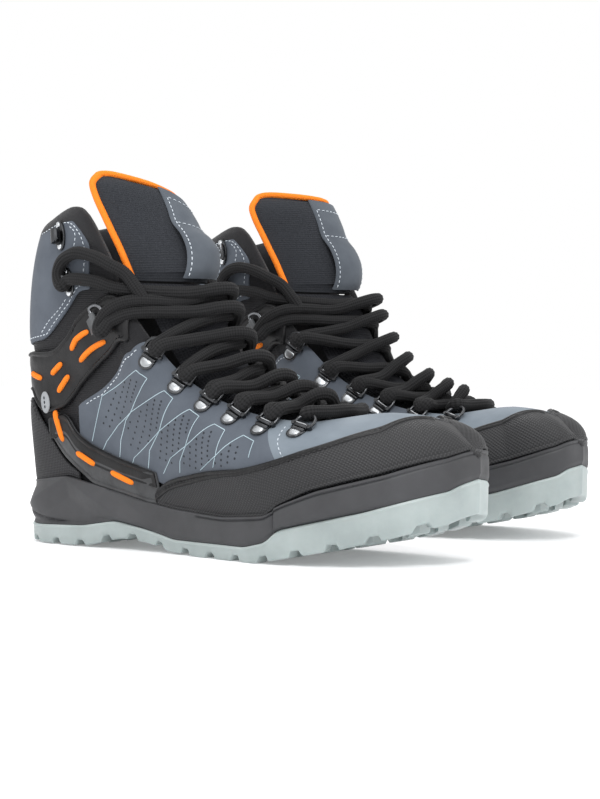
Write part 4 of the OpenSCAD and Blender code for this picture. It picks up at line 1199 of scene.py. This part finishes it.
def hole_places():
    """(u, v) of the perforations: a staggered grid inside each shrunken field."""
    places = []
    for field in FIELDS:
        field = np.asarray(field)
        middle = field.mean(0)
        small = middle + (field - middle) * FIELD_SHARE
        per_u, per_v = [np.linalg.norm(skin(*(middle + e), 1) - skin(*(middle - e), 1)) / (2 * e.max())
                        for e in (np.array([0.05, 0]), np.array([0, 0.05]))]
        for row, v in enumerate(np.arange(small[:, 1].min(), small[:, 1].max(), HOLE_PITCH * 0.87 / per_v)):
            shift = (row % 2) * HOLE_PITCH / 2 / per_u
            for u in np.arange(small[:, 0].min(), small[:, 0].max(), HOLE_PITCH / per_u) + shift:
                if inside(small, (u, v)):
                    places.append((u, v))
    return places


# A shallow dark disc in place of a hole: partly the dark layer beneath, partly painted shade inside it.
def disc(centre, normal, radius, sides=8, depth=0.25):
    side = unit(np.cross(normal, [0.3, 0.2, 1.0]))
    up = np.cross(normal, side)
    angle = np.linspace(0, 2 * math.pi, sides, endpoint=False)[:, None]
    rim = (side * np.cos(angle) + up * np.sin(angle)) * radius
    points = np.vstack([centre + rim + normal * 0.04, centre + rim * 0.6 - normal * depth])
    return points, ring_faces(2, sides), np.zeros((len(points), 2))


def taut_line(a, b, s, count=14):
    """(u, v) places under the straight line between two places on the skin."""
    share = np.linspace(0, 1, count)[:, None]
    ends = skin([a[0], b[0]], [a[1], b[1]], s)
    target = ends[0] + (ends[1] - ends[0]) * share
    uv, e = np.array(a) + (np.array(b) - np.array(a)) * share, 0.01
    for _ in range(6):
        u, v = uv.T
        du = (skin(u + e, v, s) - skin(u - e, v, s)) / (2 * e)
        dv = (skin(u, v + e, s) - skin(u, v - e, s)) / (2 * e)
        away = target - skin(u, v, s)
        uu, vv, cross = (du * du).sum(1), (dv * dv).sum(1), (du * dv).sum(1)
        ua, va = (du * away).sum(1), (dv * away).sum(1)
        scale = uu * vv - cross ** 2
        uv = uv + columns(vv * ua - cross * va, uu * va - cross * ua) / scale[:, None]
    return uv


def thread(points, s, d, width=0.5):
    """A thin thread pulled straight from place to place."""
    places = np.vstack([taut_line(a, b, s) for a, b in zip(points[:-1], points[1:])])
    line = on_skin(*places.T, s, d)
    keep = np.concatenate([[True], np.linalg.norm(np.diff(line, axis=0), axis=1) > 0.05])
    return tube(line[keep], width / 2, 5)


def edge_line(edge, u_from, u_to, inset, s, d, count=40):
    """Line along a panel's edge, inset in mm (positive is downwards)."""
    u = np.linspace(u_from, u_to, count)
    v = table(edge, u)
    span = np.linalg.norm(skin(u, v + 0.02, s) - skin(u, v - 0.02, s), axis=-1) / 0.04
    return uv_line(columns(u, v - inset / span), s, d, curved=False)


def make_threads():
    top = PANEL_OUT + 0.2
    white, black, blue, holes = [], [], [], []
    for s in (1, -1):
        white += [stitches(edge_line(*row, s, top)) for row in WHITE_EDGES]
        white += [stitches(uv_line(row, s, top)) for row in WHITE_SEAMS]
        white.append(stitches(uv_line(VAMP_SEAM, s, top + 0.3)))
        for inset in (1.6, 3.2):
            black.append(stitches(edge_line(RAND_HIGH, 4.1, 8.8, inset, s, COVER_OUT), width=0.7, height=0.4))
        black += [stitches(edge_line(*row, s, COVER_OUT)) for row in BLACK_EDGES]
        black.append(stitches(edge_line(HEEL_HIGH, 0.05, 2.0, 2.4, s, COVER_OUT - 0.45)))
        blue += [thread(figure, s, top - 0.02) for figure in FIGURES]
        holes += [disc(on_skin(u, v, s, PANEL_OUT + 0.17), skin_normal(u, v, s), HOLE_R)
                  for u, v in hole_places()]
    make("white_stitching", join(white), "white_thread")
    make("black_stitching", join(black), "black_thread")
    make("thread_figures", join(blue), "blue_thread")
    make("perforations", join(holes), "hole")


def dash(a, b, s):
    """One visible stretch of the cord, diving into the strap at both ends."""
    line = uv_line([a, b], s, COVER_OUT + 0.35, 0.6, curved=False)
    path, normal = line[:, :3], line[:, 3:]
    t = np.linspace(-1, 1, len(path))
    ends = np.sqrt(np.maximum(0.0, 1 - np.abs(t) ** 6))
    path = path + normal * (ends * 1.3 - 1.1)[:, None]
    return tube(path, CORD_R * (0.45 + 0.55 * ends), 14)


def make_dashes():
    dashes = join([dash(a, b, s) for s in (1, -1) for a, b in DASHES])
    make("strap_cord_loops", dashes, "orange", ["strap_cord"], sharp=70)


make_threads()
make_dashes()

# Hardware ---------------------------------------------------------------------------------------
def upper_frame(u, v, s, lift, turn=0.0):
    """Origin and axes of hardware on the upper, as in the CAD model."""
    z = skin_normal(u, v, s)
    up = skin(u, min(v + 0.03, 1), s) - skin(u, v - 0.03, s)
    y = unit(up - z * np.dot(up, z))
    x = np.cross(y, z)
    c, d = cos_sin(turn)
    return on_skin(u, v, s, lift), x * c + y * d, y * c - x * d, z


def placed(part, axes):
    points, faces, uv = part
    origin, x, y, z = axes
    return origin + points[:, :1] * x + points[:, 1:2] * y + points[:, 2:] * z, faces, uv


def at_places(parts, places):
    return join([placed(part, axes) for axes in places for part in parts])


def enlarged(axes, share):
    return axes[0], *(share * axis for axis in axes[1:])


def lofted(outline, layers):
    """Closed solid from an outline, scaled about its middle by each layer's (inset, height)."""
    outline = np.asarray(outline, float)
    middle = outline.mean(0)
    inward = unit(middle - outline)
    points = np.vstack([columns(*(outline + inward * inset).T, height) for inset, height in layers])
    return points, ring_faces(len(layers), len(outline)), points[:, :2] * MM


def teardrop(half_w, bottom, top, count=17):
    angle = np.linspace(math.pi, 2 * math.pi, count)
    low = columns(half_w * np.cos(angle), bottom + half_w + half_w * np.sin(angle))
    high = [[half_w, top - 0.8], [half_w - 0.8, top], [-half_w + 0.8, top], [-half_w, top - 0.8]]
    return np.vstack([low, high])


def ellipse(a, b, count=28):
    angle = np.linspace(0, 2 * math.pi, count, endpoint=False)
    return columns(a * np.cos(angle), b * np.sin(angle))


def bar(half, y, z, radius, sides=14):
    """Round bar along x with rounded ends."""
    path = columns(np.array([-1, -0.97, -0.9, 0.9, 0.97, 1]) * half, y, z)
    return tube(path, radius * np.array([0.6, 0.88, 1, 1, 0.88, 0.6]), sides)


def make_plates():
    plate = join([lofted(teardrop(4.8, -7.8, 3.6), [(0.4, 0), (0, 0.25), (0, 0.9), (0.35, 1.25), (0.9, 1.3)]),
                  bar(5.0, 3.0, 1.75, 1.85), bar(4.7, -0.2, 1.35, 1.05)])
    inlay = lofted(teardrop(3.55, -6.5, -1.3), [(0, 1.0), (0, 1.35), (0.35, 1.62), (1.2, 1.8)])
    # A thin bright bar along the top of the dark crimp tube: a painted highlight.
    painted_crimp_highlight = bar(3.6, 3.0, 3.25, 0.45, 8)
    places = [upper_frame(u, v, s, PANEL_OUT + 0.1, s * EYELET_TURN) for s in (1, -1) for u, v in EYELETS[s]]
    make("eyelet_plate_bodies", at_places([plate], places), "gunmetal", ["eyelet_plates"])
    make("eyelet_plate_inlays", at_places([inlay], places), "inlay")
    make("eyelet_crimp_painted_highlights", at_places([painted_crimp_highlight], places), "bright")


HOOKS = [[2.6, 0.9], [2.82, 0.74]]
HOOK_LINE = [[-2.6, 4.1], [-0.6, 4.5], [1.4, 4.3], [2.6, 3.3], [2.7, 2.1], [1.6, 1.3], [-0.4, 1.1]]
HOOK_TURN, HOOK_SIZE = 14, 1.25


def make_hooks():
    base = lofted(ellipse(3.6, 7.2), [(0.5, 0), (0, 0.3), (0, 0.9), (0.4, 1.2), (1, 1.25)])
    side_line = smooth_line(HOOK_LINE, 5)
    t = unit(np.gradient(side_line, axis=0))
    n = columns(-t[:, 1], t[:, 0])
    count = len(side_line)
    half = np.interp(np.arange(count), [0, 6, count - 1], [2.2, 3.4, 3.6])
    rings = []
    for p, q, h in zip(side_line, n, half):
        corners = [(-h, 0.5), (-h + 0.4, 0.62), (h - 0.4, 0.62), (h, 0.5),
                   (h, -0.5), (h - 0.4, -0.6), (-h + 0.4, -0.6), (-h, -0.5)]
        rings.append([[p[0] + q[0] * c[1], c[0], p[1] + q[1] * c[1]] for c in corners])
    points = np.array(rings).reshape(-1, 3)
    rivets = [lofted(ellipse(1.5, 1.5, 14) + [0, y], [(0, 1.0), (0, 1.5), (0.4, 1.8)]) for y in (-5.2, 5.2)]
    jaw = points, ring_faces(count, 8), points[:, :2] * MM
    places = [enlarged(upper_frame(u, v, s, PANEL_OUT + 0.1, -s * HOOK_TURN), HOOK_SIZE)
              for s in (1, -1) for u, v in HOOKS]
    make("hook_bodies", at_places([base, jaw], places), "gunmetal", ["cuff_hooks"])
    make("hook_rivets", at_places(rivets, places), "bright")


BADGE_AT, BADGE_TURN = (2.25, 0.38), -10
STRAP_RING_AT, STRAP_RING_TURN, STRAP_RING_TILT = (3.37, 0.69), 60, 10


def make_badge():
    axes = upper_frame(*BADGE_AT, 1, COVER_OUT - 0.2, BADGE_TURN)
    oval = lofted(ellipse(3.9, 6.6), [(0.4, 0), (0, 0.3), (0, 0.8), (0.5, 1.25), (1.3, 1.35)])
    holes = [lofted(ellipse(0.75, 1.05, 14) + [0, y], [(0, 1.3), (0.1, 1.42)]) for y in (-2.7, 0, 2.7)]
    make("heel_badge_oval", placed(oval, axes), "badge", ["heel_badge"])
    make("heel_badge_holes", at_places(holes, [axes]), "hole")


def tilted(axes, degrees):
    """Axes turned about their own x."""
    origin, x, y, z = axes
    c, d = cos_sin(degrees)
    return origin, x, y * c + z * d, z * c - y * d


def make_strap_rings():
    """A triangular wire loop in a folded leather tab, on each side of the ankle strap."""
    half = [[2, -0.2], [7.4, 0], [8.3, 1.6], [7.2, 6], [3.6, 9.4]]
    corners = [[-7.4, 0], [-2, -0.2]] + half + [[-x, y] for x, y in half[:1:-1]]
    loop = spline(np.vstack([corners[-1:], corners, corners[:2]]), np.linspace(1, 11, 90))
    wire = tube(columns(*loop.T, 0), 1.0, 12, ends=False)
    tab = join([lofted([[-4.6, -11], [4.6, -11], [5.4, 0], [-5.4, 0]],
                       [(0.5, -2.7), (0, -2.4), (0, -1.1), (0.5, -0.8)]), bar(5.4, 0, 0, 1.9)])
    for where, s in (("outer", 1), ("inner", -1)):
        flat = upper_frame(*STRAP_RING_AT, s, COVER_OUT + 2.6, s * STRAP_RING_TURN)
        axes = tilted(flat, STRAP_RING_TILT)
        make(f"strap_ring_wire_{where}", placed(wire, axes), "steel", [f"strap_ring_{where}"])
        make(f"strap_ring_tab_{where}", placed(tab, axes), "tab")


make_plates()
make_hooks()
make_badge()
make_strap_rings()

# CAD pieces that stay ---------------------------------------------------------------------------
KEPT = {"d_rings": "gunmetal", "shank": "bright", "insole_board": "board", "footbed": "footbed"}
for side in SIDES:
    for name, material in KEPT.items():
        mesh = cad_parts[f"{side}_{name}"].data
        mesh.materials.clear()
        mesh.materials.append(MATERIALS[material])

# Floor and light --------------------------------------------------------------------------------
# Lamps as name, place in metres, size in metres and power in watts
LAMPS = [("key", (-1.1, -0.9, 1.5), 0.5, 17), ("side", (-1.6, 0.8, 0.8), 0.8, 3),
         ("front", (0.6, -1.6, 0.7), 0.8, 5), ("back", (1.0, 1.2, 1.5), 0.8, 7),
         ("top", (0, 0, 1.8), 1.0, 8)]
AIM = Vector((0, 0, 0.08))
FLOOR_SIZE = 12


def make_stage():
    bpy.ops.mesh.primitive_plane_add(size=FLOOR_SIZE, location=(0, 0, 0))
    floor = bpy.context.object
    floor.name = "floor"
    floor.data.materials.append(MATERIALS["floor"])
    for name, place, size, power in LAMPS:
        light = bpy.data.lights.new(name, "AREA")
        light.size = size
        light.energy = power
        lamp = bpy.data.objects.new(name, light)
        lamp.location = place
        lamp.rotation_euler = (AIM - Vector(place)).to_track_quat("-Z", "Y").to_euler()
        bpy.context.scene.collection.objects.link(lamp)
    world = bpy.data.worlds.new("studio")
    world.use_nodes = True
    sky = world.node_tree.nodes["Background"].inputs
    sky["Color"].default_value = (1, 1, 1, 1)
    sky["Strength"].default_value = 1.0
    bpy.context.scene.world = world
    bpy.context.scene.view_settings.view_transform = "Standard"


make_stage()
